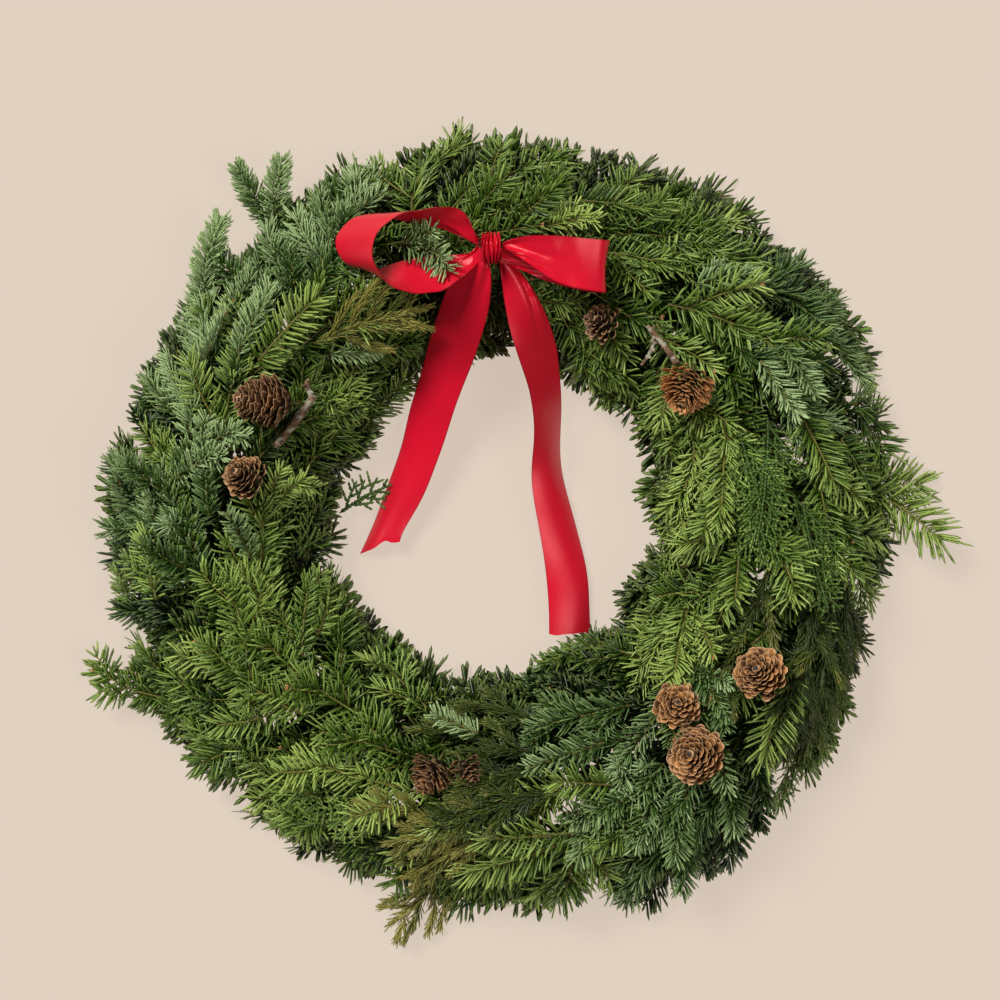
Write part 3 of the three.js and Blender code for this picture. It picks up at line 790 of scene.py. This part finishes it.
# Two buds at the tip of a shoot.
def addBuds(pile, line, up, rng):
    tip, ahead = line[-1], unit(line[-1] - line[-2])
    side = unit(np.cross(ahead, up[-1]))
    ways = np.array([ahead - side * 0.7, ahead + side * 0.7])
    sizes = np.array(budSize) * rng.uniform(0.8, 1.15, (2, 1))
    addCopies(pile, shapes["bud"], np.tile(tip, (2, 1)), ways, np.tile(up[-1], (2, 1)), sizes,
              rng.uniform(0.3, 0.9, 2), "bud")


cedar = {
    "leafStep": 2.8, "leafLength": 4.0, "leafHeight": 0.55,  # the height is a share of the width
    "leafWidths": (3.0, 2.5, 2.2),  # on the stem, the branches and the twiglets
    "branchStep": 5.2, "branchAngle": 42, "twigletStep": 4.2, "twigletLength": 11.0,
    "bareLength": 9,  # a branch shorter than this has no twiglets
}


# A chain of scale leaves along a line.
def addChain(pile, line, up, tone, rng, width):
    spots, ahead, upAt, share = walk(line, up, cedar["leafStep"])
    wide = width * (1.08 - 0.4 * share)
    sizes = np.stack([wide, np.full(len(spots), cedar["leafLength"]), wide * cedar["leafHeight"]], -1)
    tones = tone + rng.normal(0, 0.07, len(spots)) + 0.3 * (share - 0.35)
    addCopies(pile, shapes["scaleLeaf"], spots, ahead, upAt, sizes, tones, "cedar")


# A flat fan: a leading line with side branches left and right by turns, and twiglets on those.
def growFan(pile, line, up, tone, rng, breadth):
    widths = cedar["leafWidths"]
    addChain(pile, line, up + 0.25 * rng.normal(0, 1, 3), tone - 0.1, rng, widths[0])
    spots, ahead, upAt, share = walk(line, up, cedar["branchStep"], start=3.0)
    side = np.cross(ahead, upAt)
    for index in range(len(spots)):
        hand = 1 if index % 2 else -1
        length = breadth * (1.05 - 0.8 * share[index]) * rng.uniform(0.8, 1.12)
        angle = math.radians(rng.normal(cedar["branchAngle"], 5))
        way = math.cos(angle) * ahead[index] + math.sin(angle) * hand * side[index]
        curl = ahead[index] * 0.35 - upAt[index] * rng.uniform(0.0, 0.3)
        marks = np.linspace(0, 1, 5)[:, None]
        branch = spots[index] + (way * marks + curl * marks ** 2 * 0.6) * length
        branchUp = np.tile(unit(upAt[index] + side[index] * rng.normal(0, 0.12)), (5, 1))
        addChain(pile, branch, branchUp, tone, rng, widths[1])
        if length < cedar["bareLength"]:
            continue
        twigSpots, twigAhead, twigUp, twigShare = walk(branch, branchUp, cedar["twigletStep"], start=2.0)
        twigSide = np.cross(twigAhead, twigUp)
        for number in range(len(twigSpots)):
            turn = 1 if number % 2 else -1
            long = cedar["twigletLength"] * (1.15 - 0.8 * twigShare[number]) * rng.uniform(0.75, 1.15)
            out = 0.78 * twigAhead[number] + 0.62 * turn * twigSide[number]
            twiglet = twigSpots[number] + out * np.linspace(0, 1, 3)[:, None] * long
            addChain(pile, twiglet, np.tile(twigUp[number], (3, 1)), tone + 0.12, rng, widths[2])


# Shoots that stand out of a bunch: kind, root, heading, length, tone, size of the needles, side shoots.
leaders = [
    ("nobleFir", (-180, 115), 65, 50, 1.0, 0.85, 0),
    ("grandFir", (-165, 110), 50, 60, 0.8, 0.95, 0),
    ("nobleFir", (-215, 55), 85, 105, 0.9, 0.85, 3),
    ("nobleFir", (-115, 115), 5, 35, 0.9, 0.6, 0),
    ("nobleFir", (-210, 45), 35, 35, 0.85, 0.8, 2),
    ("nobleFir", (-225, 25), 35, 35, 0.9, 0.85, 2),
    ("grandFir", (165, 70), -90, 75, 0.85, 0.95, 2),
    ("grandFir", (220, 70), -60, 50, 0.6, 0.95, 0),
    ("grandFir", (250, 55), -55, 35, 0.4, 0.9, 0),
    ("cedar", (195, 70), -90, 90, 0.4, 1, 0),
    ("cedar", (175, 60), -75, 95, 0.5, 1, 0),
    ("cedar", (220, 10), -80, 75, 0.4, 1, 0),
    ("nobleFir", (190, 110), -55, 45, 0.9, 0.8, 0),
    ("nobleFir", (210, 120), -60, 40, 0.75, 0.8, 0),
    ("grandFir", (195, -15), -55, 45, 0.7, 0.9, 2),
    ("grandFir", (175, -30), -95, 30, 0.7, 0.8, 0),
    ("grandFir", (170, -10), -165, 35, 0.75, 0.95, 0),
    ("grandFir", (145, 45), -105, 50, 1.0, 0.75, 3),
    ("grandFir", (60, 225), -5, 50, 0.45, 0.9, 0),
    ("grandFir", (145, 205), 30, 55, 0.15, 0.9, 2),
    ("nobleFir", (145, 165), 10, 40, 0.75, 0.75, 2),
    ("grandFir", (40, 205), 10, 30, 0.9, 0.6, 2),
    ("grandFir", (140, -65), -105, 50, 1.0, 0.85, 2),
    ("grandFir", (145, -70), -65, 30, 1.0, 0.7, 0),
    ("grandFir", (215, -115), -115, 60, 0.7, 1.1, 0),
    ("nobleFir", (140, -105), -55, 45, 0.5, 0.7, 2),
    ("juniper", (245, -60), -100, 115, 0.35, 1.2, 8),
    ("juniper", (230, -65), -100, 110, 0.4, 1.2, 8),
    ("juniper", (255, -50), -95, 80, 0.3, 1.2, 7),
    ("grandFir", (55, -225), -175, 60, 0.8, 1.0, 0),
    ("grandFir", (45, -235), -160, 65, 0.75, 1.1, 0),
    ("nobleFir", (80, -160), -160, 55, 0.65, 0.95, 0),
    ("nobleFir", (-10, -155), 155, 35, 1.0, 0.75, 0),
    ("grandFir", (85, -190), 175, 40, 0.7, 0.85, 0),
    ("nobleFir", (95, -200), -160, 40, 0.6, 0.8, 2),
    ("grandFir", (110, -210), -140, 40, 0.5, 0.8, 2),
    ("nobleFir", (140, -200), -140, 45, 0.55, 0.9, 2),
    ("juniper", (40, -195), -165, 80, 0.35, 1.1, 8),
    ("juniper", (25, -180), -165, 55, 0.4, 1.1, 7),
    ("nobleFir", (-170, -30), 115, 35, 0.8, 0.8, 0),
    ("nobleFir", (-200, 0), 95, 50, 0.6, 0.8, 0),
    ("grandFir", (-165, 5), 35, 40, 0.9, 0.55, 2),
    ("grandFir", (-135, -100), 90, 55, 0.5, 0.6, 2),
    ("grandFir", (-125, -85), 70, 40, 0.8, 0.65, 0),
    ("grandFir", (-240, -60), 100, 45, 0.85, 0.7, 2),
    ("grandFir", (260, 80), 20, 20, 0.3, 1.0, 0),
    ("grandFir", (265, 75), -30, 45, 0.3, 1.15, 1),
    ("grandFir", (80, 105), -105, 35, 0.45, 0.75, 2),
    ("grandFir", (-90, 60), 40, 40, 0.5, 0.8, 2),
    ("nobleFir", (-135, 250), 10, 20, 0.5, 0.7, 2),
    ("grandFir", (-265, -65), 115, 25, 0.6, 0.7, 1),
    ("grandFir", (-180, -180), 150, 45, 0.6, 0.85, 3),
    ("grandFir", (-120, -220), 180, 35, 0.6, 0.85, 3),
    ("juniper", (0, -225), -155, 75, 0.9, 1.0, 7),
    ("juniper", (10, -215), -170, 85, 0.9, 0.9, 7),
    ("juniper", (-35, -215), 165, 60, 0.9, 0.9, 5),
]
# Shoots that point at the viewer: kind, place, tone, size.
stars = [
    ("grandFir", (115, 190), 0.8, 1.0),
    ("nobleFir", (-215, -5), 0.9, 0.95),
    ("grandFir", (-110, 90), 0.8, 0.8),
    ("grandFir", (-125, -105), 0.85, 0.75),
    ("nobleFir", (95, -175), 0.9, 0.7),
    ("nobleFir", (115, -175), 0.8, 0.65),
    ("nobleFir", (105, -195), 0.75, 0.65),
    ("grandFir", (140, 25), 0.85, 0.6),
    ("nobleFir", (-135, 200), 0.85, 0.75),
    ("grandFir", (-165, -130), 0.8, 0.8),
    ("grandFir", (-40, -130), 0.8, 0.7),
]


# Draws what lies past the outline of the greens back towards it.
def keepInside(line, margin, give):
    radius = np.hypot(line[:, 0], line[:, 1])
    hours = hoursOf(line[:, 0], line[:, 1])
    outer, inner = reachAt("outerReach", hours) - margin, reachAt("innerReach", hours) + margin
    kept = np.where(radius > outer, outer + (radius - outer) * give, radius)
    kept = np.where(radius < inner, inner + (radius - inner) * give, kept)
    line = line.copy()
    line[:, :2] *= (kept / np.maximum(radius, 1e-6))[:, None]
    return line


lowest = {"line": 6, "shoot": 5}  # so that the needles stay off the floor
sprig = {
    "roll": 0.28,  # how far it may turn round its stem
    "shootsFrom": 0.16, "shootsTo": 0.8,  # shares of its length
    "angle": 46, "forward": 0.22, "inward": 0.1,
    "thinner": 0.8, "smaller": 0.95,  # a side shoot's stem and needles, out of the main ones
    "fanShare": 0.42, "fanMost": 34,  # breadth of a cedar fan
}


# A line that runs over the greens. Heading and bend are in degrees, and layer is a share of the height.
def surfaceLine(root, heading, length, bend, layer, lift, rise):
    count = 9
    marks = np.linspace(0, 1, count)
    turns = np.radians(heading + bend * marks)[:-1]
    step = length / (count - 1)
    x = root[0] + np.concatenate([[0], np.cumsum(np.cos(turns))]) * step
    y = root[1] + np.concatenate([[0], np.cumsum(np.sin(turns))]) * step
    line = keepInside(np.stack([x, y, np.zeros(count)], -1), 8, 0.45)
    line[:, 2] = greensHeight(line[:, 0], line[:, 1]) * layer + lift + rise * marks ** 2
    line[:, 2] = np.maximum(line[:, 2], lowest["line"])
    return line


def growSprig(pile, kind, line, tone, rng, shoots, size, loose, reach=0.46, roll=None, buds=0.2, inside=True,
              broad=1.0):
    roll = rng.normal(0, sprig["roll"]) if roll is None else roll
    ahead = unit(np.gradient(line, axis=0))
    up = turnRound(greensUp(line[:, 0], line[:, 1]), ahead, roll)
    total = np.linalg.norm(np.diff(line, axis=0), axis=1).sum()
    if kind == "cedar":
        addStem(pile, line, (0.55, 0.25), 0.2)
        growFan(pile, line, up, tone, rng, min(total * sprig["fanShare"], sprig["fanMost"]))
        return
    setup = shootKinds[kind]
    addStem(pile, line, setup["stem"], 0.45 + 0.3 * tone)
    growShoot(pile, kind, line, up, tone, rng, loose, size, broad)
    if rng.random() < buds:
        addBuds(pile, line, up, rng)
    for index, mark in enumerate(np.linspace(sprig["shootsFrom"], sprig["shootsTo"], shoots)):
        hand = 1 if index % 2 else -1
        spot = between(line, np.linspace(0, 1, len(line)), mark)
        nearest = int(round(mark * (len(line) - 1)))
        way, normal = ahead[nearest], up[nearest]
        side = unit(np.cross(way, normal)) * hand
        angle = math.radians(rng.normal(sprig["angle"], 6))
        long = total * reach * (1.15 - 0.62 * mark) * rng.uniform(0.82, 1.12)
        steps = np.linspace(0, 1, 6)[:, None]
        out = math.cos(angle) * way + math.sin(angle) * side + rng.normal(0.02, 0.12) * normal
        curve = way * sprig["forward"] - side * sprig["inward"]
        shoot = spot + (out * steps + curve * steps ** 2) * long
        if inside:
            shoot = keepInside(shoot, 2, 0.6)
        shoot[:, 2] = np.maximum(shoot[:, 2], lowest["shoot"])
        shootUp = turnRound(np.tile(normal, (6, 1)), np.tile(unit(out), (6, 1)), rng.normal(0, 0.25))
        addStem(pile, shoot, [radius * sprig["thinner"] for radius in setup["stem"]], 0.5 + 0.3 * tone)
        shootTone = tone + rng.normal(0, 0.13)
        growShoot(pile, kind, shoot, shootUp, shootTone, rng, loose, size * sprig["smaller"], broad)
        if rng.random() < buds * 0.6:
            addBuds(pile, shoot, shootUp, rng)


bunches = {
    "kinds": {  # hour: inner kind, outer kind
        12: ("grandFir", "grandFir"), 1: ("grandFir", "grandFir"), 2: ("grandFir", "nobleFir"),
        3: ("cedar", "cedar"), 4: ("grandFir", "juniper"), 5: ("nobleFir", "nobleFir"),
        6: ("juniper", "grandFir"), 7: ("grandFir", "cedar"), 8: ("grandFir", "grandFir"),
        9: ("cedar", "nobleFir"), 10: ("grandFir", "nobleFir"), 11: ("cedar", "nobleFir"),
    },
    # share of the height, tone, sprigs out and in, shoots, how far apart and how broad the needles are; the
    # lower layers get a darker tone, which is painted shade
    "layers": [
        (0.42, 0.0, (5, 4), 5, 1.1, 1.9), (0.72, 0.06, (5, 4), 3, 1.0, 1.2), (1.0, 0.58, (4, 3), 3, 1.0, 1.0),
    ],
    "outer": {"way": 1, "firstRoot": 0, "lastRoot": 28, "fan": (8, 36), "length": 98},
    "inner": {"way": -1, "firstRoot": -4, "lastRoot": 26, "fan": (6, 38), "length": 80},
    "start": -0.62, "span": 0.66,  # in hours
    "shorter": 22,  # at the edge
    "mixed": {"nobleFir": 0.35, "grandFir": 0.0, "cedar": 0.3, "juniper": 0.6},  # share of grand fir
    "darker": {"nobleFir": 0.08, "grandFir": 0.0, "cedar": 0.0, "juniper": 0.3},
    "brighter": {
        (12, "inner"): -0.1, (12, "outer"): -0.1, (1, "inner"): -0.1, (1, "outer"): -0.08,
        (3, "inner"): 0.12, (4, "inner"): 0.1, (4, "outer"): 0.18, (6, "inner"): 0.14, (6, "outer"): 0.22,
        (7, "inner"): 0.08, (7, "outer"): 0.2, (10, "outer"): 0.2, (11, "outer"): 0.22,
    },
}
nodeKinds = {"nobleFir": "noble_fir", "grandFir": "grand_fir", "cedar": "cedar", "juniper": "juniper"}


def clockPoint(radius, hour):
    turn = math.radians(90 - 30 * hour)
    return radius * math.cos(turn), radius * math.sin(turn)


def bunchOf(spot):
    hour = int(hoursOf(*spot) + 0.5) % 12 or 12
    return hour, "outer" if math.hypot(*spot) > greens["crownRadius"] else "inner"


def growStar(pile, kind, spot, tone, size, rng):
    base = np.array([*spot, float(greensHeight(*np.array(spot, float))) - 16])
    way = unit(np.array([rng.normal(-0.25, 0.2), rng.normal(-0.2, 0.2), 1.0]))
    line = base + np.linspace(0, 26 * size ** 0.5, 6)[:, None] * way
    up = np.tile(unit(np.cross(way, (0.3, 1.0, 0.0))), (6, 1))
    addStem(pile, line, (1.2, 0.8), 0.7)
    growShoot(pile, kind, line, up, tone, rng, 1.1, size, ranks=starRanks)
    growShoot(pile, kind, line[-2:], up[-2:], tone + 0.1, rng, 0.8, size * 0.7, ranks=starRanks)


def makeSpray(hour, part):
    kind = bunches["kinds"][hour][part == "outer"]
    rng = np.random.default_rng(seeds["bunches"] + hour * 10 + (part == "outer"))
    brighter = bunches["brighter"].get((hour, part), 0.0)
    setup, way = bunches[part], bunches[part]["way"]
    crown = greens["crownRadius"]
    pile = newPile()
    for layer, tone, sprigs, shoots, loose, broad in bunches["layers"]:
        sprigs = sprigs[part == "inner"]
        for index in range(sprigs):
            at = hour + bunches["start"] + bunches["span"] * ((index * 0.618 + layer * 3) % 1)
            at += rng.uniform(-0.08, 0.08)
            share = np.clip((index + rng.uniform(0.15, 0.85)) / sprigs, 0.03, 0.95)
            reach = float(reachAt(part + "Reach", np.array(at + 0.5)))
            along = rng.uniform(0.86, 1.1)
            radius = crown + setup["firstRoot"] + (reach - way * setup["lastRoot"] - crown) * share
            fan = way * (setup["fan"][0] + setup["fan"][1] * share + rng.normal(0, 16))
            length = (setup["length"] - bunches["shorter"] * share) * along
            heading = -30 * at + fan  # clockwise, turned outwards or inwards
            rise = rng.uniform(-3, 14) if layer == 1.0 else 2
            line = surfaceLine(clockPoint(radius, at), heading, length, -fan * 0.5 - 12, layer, -5, rise)
            leaf = kind
            if rng.random() < bunches["mixed"][kind] or (kind in ("cedar", "juniper") and layer < 1.0):
                leaf = "grandFir"
            shift = brighter * layer - bunches["darker"][leaf] + rng.normal(0, 0.12)
            size = rng.uniform(0.78, 1.08)
            growSprig(pile, leaf, line, tone + shift, rng, shoots, size, loose, broad=broad)
    for leaf, root, heading, length, tone, size, shoots in leaders:
        if bunchOf(root) == (hour, part):
            line = surfaceLine(root, heading, length, rng.normal(0, 8), 1.0, 4, 9)
            reach, roll = 0.3 if leaf == "juniper" else 0.5, rng.normal(0, 0.12)
            growSprig(pile, leaf, line, tone, rng, shoots, size, 0.75, reach, roll)
    for leaf, spot, tone, size in stars:
        if bunchOf(spot) == (hour, part):
            growStar(pile, leaf, spot, tone, size, rng)
    node = f"{nodeKinds[kind]}_{part}_spray_{hour:02d}"
    return makePiece(f"{node}_foliage", pile, node)


triangles = 0
for hour in range(1, 13):
    for part in ("inner", "outer"):
        piece = makeSpray(hour, part)
        triangles += len(piece.data.polygons)
print("bunches of greens made,", triangles, "triangles")


# kind, course, tone, side shoots and their reach, size of the needles, how far apart they are
singles = {
    "grand_fir_sprig_3_oclock": (
        "grandFir", [(258, 26, 14), (300, 6, 18), (328, -18, 24)], 0.78, 1, 0.5, 1.15, 0.66),
    "grand_fir_sprig_8_oclock": (
        "grandFir", [(-222, -138, 12), (-260, -128, 18), (-290, -113, 22)], 0.5, 4, 0.34, 0.72, 0.9),
    "cedar_sprig_7_oclock": (
        "juniper", [(-22, -250, 12), (-48, -278, 14), (-74, -298, 14)], 0.92, 7, 0.44, 0.95, 1.3),
    "noble_fir_sprig_10_oclock": (
        "nobleFir", [(-212, 140, 20), (-208, 182, 28), (-197, 214, 34)], 1.0, 0, 0.3, 0.92, 0.42),
    "noble_fir_sprig_11_oclock": (
        "nobleFir", [(-158, 204, 16), (-157, 232, 26), (-153, 258, 30)], 0.85, 1, 0.8, 0.85, 0.5),
    "cedar_sprig_9_oclock": ("cedar", [(-112, 2, 8), (-94, 14, 11), (-76, 22, 12)], 0.4, 0, 0.4, 1.0, 1.0),
    "cedar_sprig_left_of_bow": (
        "juniper", [(-126, 122, 80), (-86, 138, 82), (-46, 148, 80)], 0.85, 9, 0.42, 0.9, 1.0),
    "noble_fir_tip_in_bow": (
        "nobleFir", [(-64, 192, 84), (-48, 188, 92), (-32, 180, 104)], 0.72, 2, 0.5, 0.95, 0.9),
}


def makeSingles():
    for index, (node, setup) in enumerate(singles.items()):
        kind, course, tone, shoots, reach, size, loose = setup
        rng = np.random.default_rng(seeds["singles"] + index)
        line = between(np.array(course, float), [0, 0.5, 1], np.linspace(0, 1, 9))
        pile = newPile()
        growSprig(pile, kind, line, tone, rng, shoots, size, loose, reach, roll=0.0, buds=0.3, inside=False)
        makePiece(f"{node}_foliage", pile, node)


makeSingles()
print("single sprigs made")


# The near-black Base paints the shade in the gaps between the scales, and the bright Light and Tip are partly
# the scales' own tan and partly a painted sheen.
coneColors = {
    "Dark": (0.026, 0.011, 0.005), "Middle": (0.21, 0.084, 0.028), "Light": (0.98, 0.42, 0.12),
    "Underside": (0.15, 0.06, 0.022), "Base": (0.006, 0.003, 0.002), "Tip": (0.95, 0.57, 0.28),
}
coneMaterials = {
    "coneScale": paletteMaterial(
        "larchScale", "coneScale", coneColors, (0.95, 0.82), (1.0, 0.95), 0.6, speckle=0.6, rim=0.6),
    "stem": greenMaterials["stem"],
}
# place, length, radius, heading of the tip and how far it rises, scales, how far they open, their width, tone
cones = [
    ((-164, 81), 48, 17.5, 178, 24, 130, 0.42, 0.85, 0.4),
    ((-175, 29), 30, 14.5, 150, 52, 96, 0.42, 0.85, 0.42),
    ((76, 138), 24, 12.0, 160, 50, 50, 0.7, 0.9, 0.25),
    ((136, 87), 38, 16.5, 250, 34, 140, 0.5, 0.62, 1.0),
    ((187, -109), 29, 17.0, 130, 64, 96, 0.48, 0.85, 0.6),
    ((130, -132), 26, 15.0, 90, 74, 84, 0.45, 0.85, 0.62),
    ((142, -167), 31, 18.5, 165, 66, 108, 0.48, 0.85, 0.6),
    ((-45, -183), 30, 13.5, 235, 30, 74, 0.6, 0.85, 0.52),
    ((-17, -181), 22, 10.5, 300, 35, 44, 0.75, 0.9, 0.3),
]
coneShape = {
    "turn": math.radians(137.508),  # from each scale to the next
    "back": 0.46, "front": 0.34,  # ends of the core, out of the length
    "core": (0.34, 0.4, 0.12),  # its radii, out of the cone's
    "stalk": (1.7, 1.3, 1.3),
    "thickness": 0.55, "cup": 0.6, "upright": 14, "opening": 66,
}


def makeCone(number, spot, length, radius, heading, rise, count, opened, width, tone):
    node = f"larch_cone_{number}"
    low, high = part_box(node)
    heading, rise = math.radians(heading), math.radians(rise)
    axis = np.array([math.cos(heading) * math.cos(rise), math.sin(heading) * math.cos(rise), math.sin(rise)])
    side = unit(np.cross(axis, (0.3, 0.2, 1.0)))
    over = np.cross(side, axis)
    centre = np.array([*spot, (low.z + high.z) * 500])
    rng = np.random.default_rng(seeds["cones"] + number)
    pile = newPile()
    base = centre - axis * length * coneShape["back"]
    core = np.array([base, centre, centre + axis * length * coneShape["front"]])
    addStem(pile, core, [radius * share for share in coneShape["core"]], 0.1, "coneScale", sides=8)
    stalk = np.array([base + axis * 2, base - axis * 5, base - axis * 9 + (0, 0, -4)])
    addStem(pile, stalk, coneShape["stalk"], 0.35)
    t = (np.arange(count) + 0.5) / count
    turn = np.arange(count) * coneShape["turn"] + rng.normal(0, 0.06, count)
    out = np.cos(turn)[:, None] * side + np.sin(turn)[:, None] * over
    lean = coneShape["upright"] + opened * coneShape["opening"] * (1 - t) ** 1.3
    lean = np.radians(lean + rng.normal(0, 5, count))[:, None]
    ahead = np.cos(lean) * axis + np.sin(lean) * out
    up = np.sin(lean) * axis - np.cos(lean) * out
    full = np.sin(np.pi * np.clip(0.16 + 0.8 * t, 0, 1)) ** 0.6
    attach = radius * (0.58 * np.sqrt(1.01 - t ** 2))[:, None]
    spots = centre + axis * (length * (-0.44 + 0.66 * t))[:, None] + out * attach
    long = radius * (0.7 - 0.2 * t) * (0.72 + 0.36 * full) * rng.uniform(0.8, 1.15, count)
    wide = width * radius * (0.66 - 0.3 * t) * (0.72 + 0.3 * full) * rng.uniform(0.8, 1.15, count)
    sizes = np.stack([wide, long, np.full(count, coneShape["thickness"])], -1)
    up = up + out * rng.normal(0, 0.05, (count, 1)) + np.cross(axis, out) * rng.normal(0, 0.2, (count, 1))
    bends = up * (-0.2 * long)[:, None]
    tones = tone + rng.normal(0, 0.1, count)
    addCopies(pile, shapes["coneScale"], spots, ahead, up, sizes, tones, "coneScale", bends, coneShape["cup"])
    return makePiece(f"{node}_scales", pile, node, coneMaterials)


for number, setup in enumerate(cones, 1):
    makeCone(number, *setup)
print("larch cones made")


barkLook = {
    "color": (0.25, 0.13, 0.065), "grooves": (0.06, 0.032, 0.016), "lichen": (0.36, 0.33, 0.24),
    "grain": 420, "patches": 150,
}


def barkMaterial():
    material, tree, shader = newMaterial("larchBark")
    body, grooves, lichen = ((*barkLook[label], 1) for label in ("color", "grooves", "lichen"))
    where = tree.nodes.new("ShaderNodeTexCoord").outputs["Object"]
    grain = noisePattern(tree, where, barkLook["grain"], 4.0)
    patches = noisePattern(tree, where, barkLook["patches"], 2.0)
    color = mixColors(tree, spread(tree, grain, 0.35, 0.65), grooves, body)
    color = mixColors(tree, spread(tree, patches, 0.5, 0.62), color, lichen)
    fill(tree, shader, {"Base Color": color, "Roughness": 0.85})
    addBump(tree, shader, grain, 0.6, 0.0008)
    return material


twigs = {
    "larch_twig_10_oclock": {
        "stem": [(-154, 49, 72), (-137, 71, 69), (-126, 86, 68)], "stemRadii": (2.6, 3.0, 2.3),
        "branch": [(-127, 84, 68), (-131, 91, 70), (-131, 97, 71)], "branchRadii": (2.2, 1.6),
    },
    "larch_twig_2_oclock": {
        "stem": [(110, 135, 76), (122, 121, 76), (131, 108, 78)], "stemRadii": (1.6, 2.1, 2.8),
        "branch": [(115, 129, 76), (113, 118, 75), (106, 107, 72)], "branchRadii": (1.5, 1.0),
    },
}


spurSize = (2.6, 3.6, 2.6)  # the knobs on a larch twig


def makeTwigs():
    bark = barkMaterial()
    for index, (node, setup) in enumerate(twigs.items()):
        rng = np.random.default_rng(seeds["twigs"] + index)
        pile = newPile()
        for part in ("stem", "branch"):
            count = 26
            line = throughPoints(setup[part], np.linspace(0, len(setup[part]) - 1, count))
            line = line + rng.normal(0, 0.18, (count, 3))
            radii = setup[part + "Radii"]
            radii = np.interp(np.linspace(0, len(radii) - 1, count), np.arange(len(radii)), radii)
            radii = radii * rng.uniform(0.9, 1.16, count)
            addStem(pile, line, radii, 0.5, "bark", sides=9)
            spurs = line[3:-1:5]
            few = len(spurs)
            ahead = rng.normal(0, 1, (few, 3)) * (1, 1, 0.4) + (0, 0, 0.7)
            sizes = np.array(spurSize) * rng.uniform(0.8, 1.2, (few, 1))
            up = np.tile([0.3, 0.2, 1.0], (few, 1))
            addCopies(pile, shapes["bud"], spurs, ahead, up, sizes, np.full(few, 0.5), "bark")
        piece = makePiece(f"{node}_bark", pile, node, {"bark": bark})
        piece.data.uv_layers.remove(piece.data.uv_layers[bakeMap])


makeTwigs()
print("larch twigs made")


wires = {
    "frame": {
        "nodes": ["frame_outer_rail", "frame_inner_rail", "frame_strap_12_oclock",
                  "frame_strap_3_oclock", "frame_strap_6_oclock", "frame_strap_9_oclock"],
        "color": (0.012, 0.045, 0.018), "worn": (0.05, 0.09, 0.045), "roughness": 0.42,
    },
    "tie": {
        "nodes": ["binding_wire", "bow_wire"],
        "color": (0.02, 0.06, 0.025), "worn": (0.11, 0.12, 0.09), "roughness": 0.5,
    },
}


def lacquerWires():
    for name, setup in wires.items():
        material, tree, shader = newMaterial(name + "Lacquer")
        where = tree.nodes.new("ShaderNodeTexCoord").outputs["Object"]
        runs = noisePattern(tree, where, 90.0, 4.0)
        fine = noisePattern(tree, where, 900.0, 2.0)
        color = mixColors(tree, spread(tree, runs, 0.45, 0.7), (*setup["color"], 1), (*setup["worn"], 1))
        roughness = spread(tree, fine, 0.3, 0.7, setup["roughness"] - 0.08, setup["roughness"] + 0.1)
        fill(tree, shader, {"Base Color": color, "Roughness": roughness})
        addBump(tree, shader, fine, 0.25, 0.0003)
        for node in setup["nodes"]:
            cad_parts[node].material_slots[0].material = material


lacquerWires()
print("frame and wires lacquered")
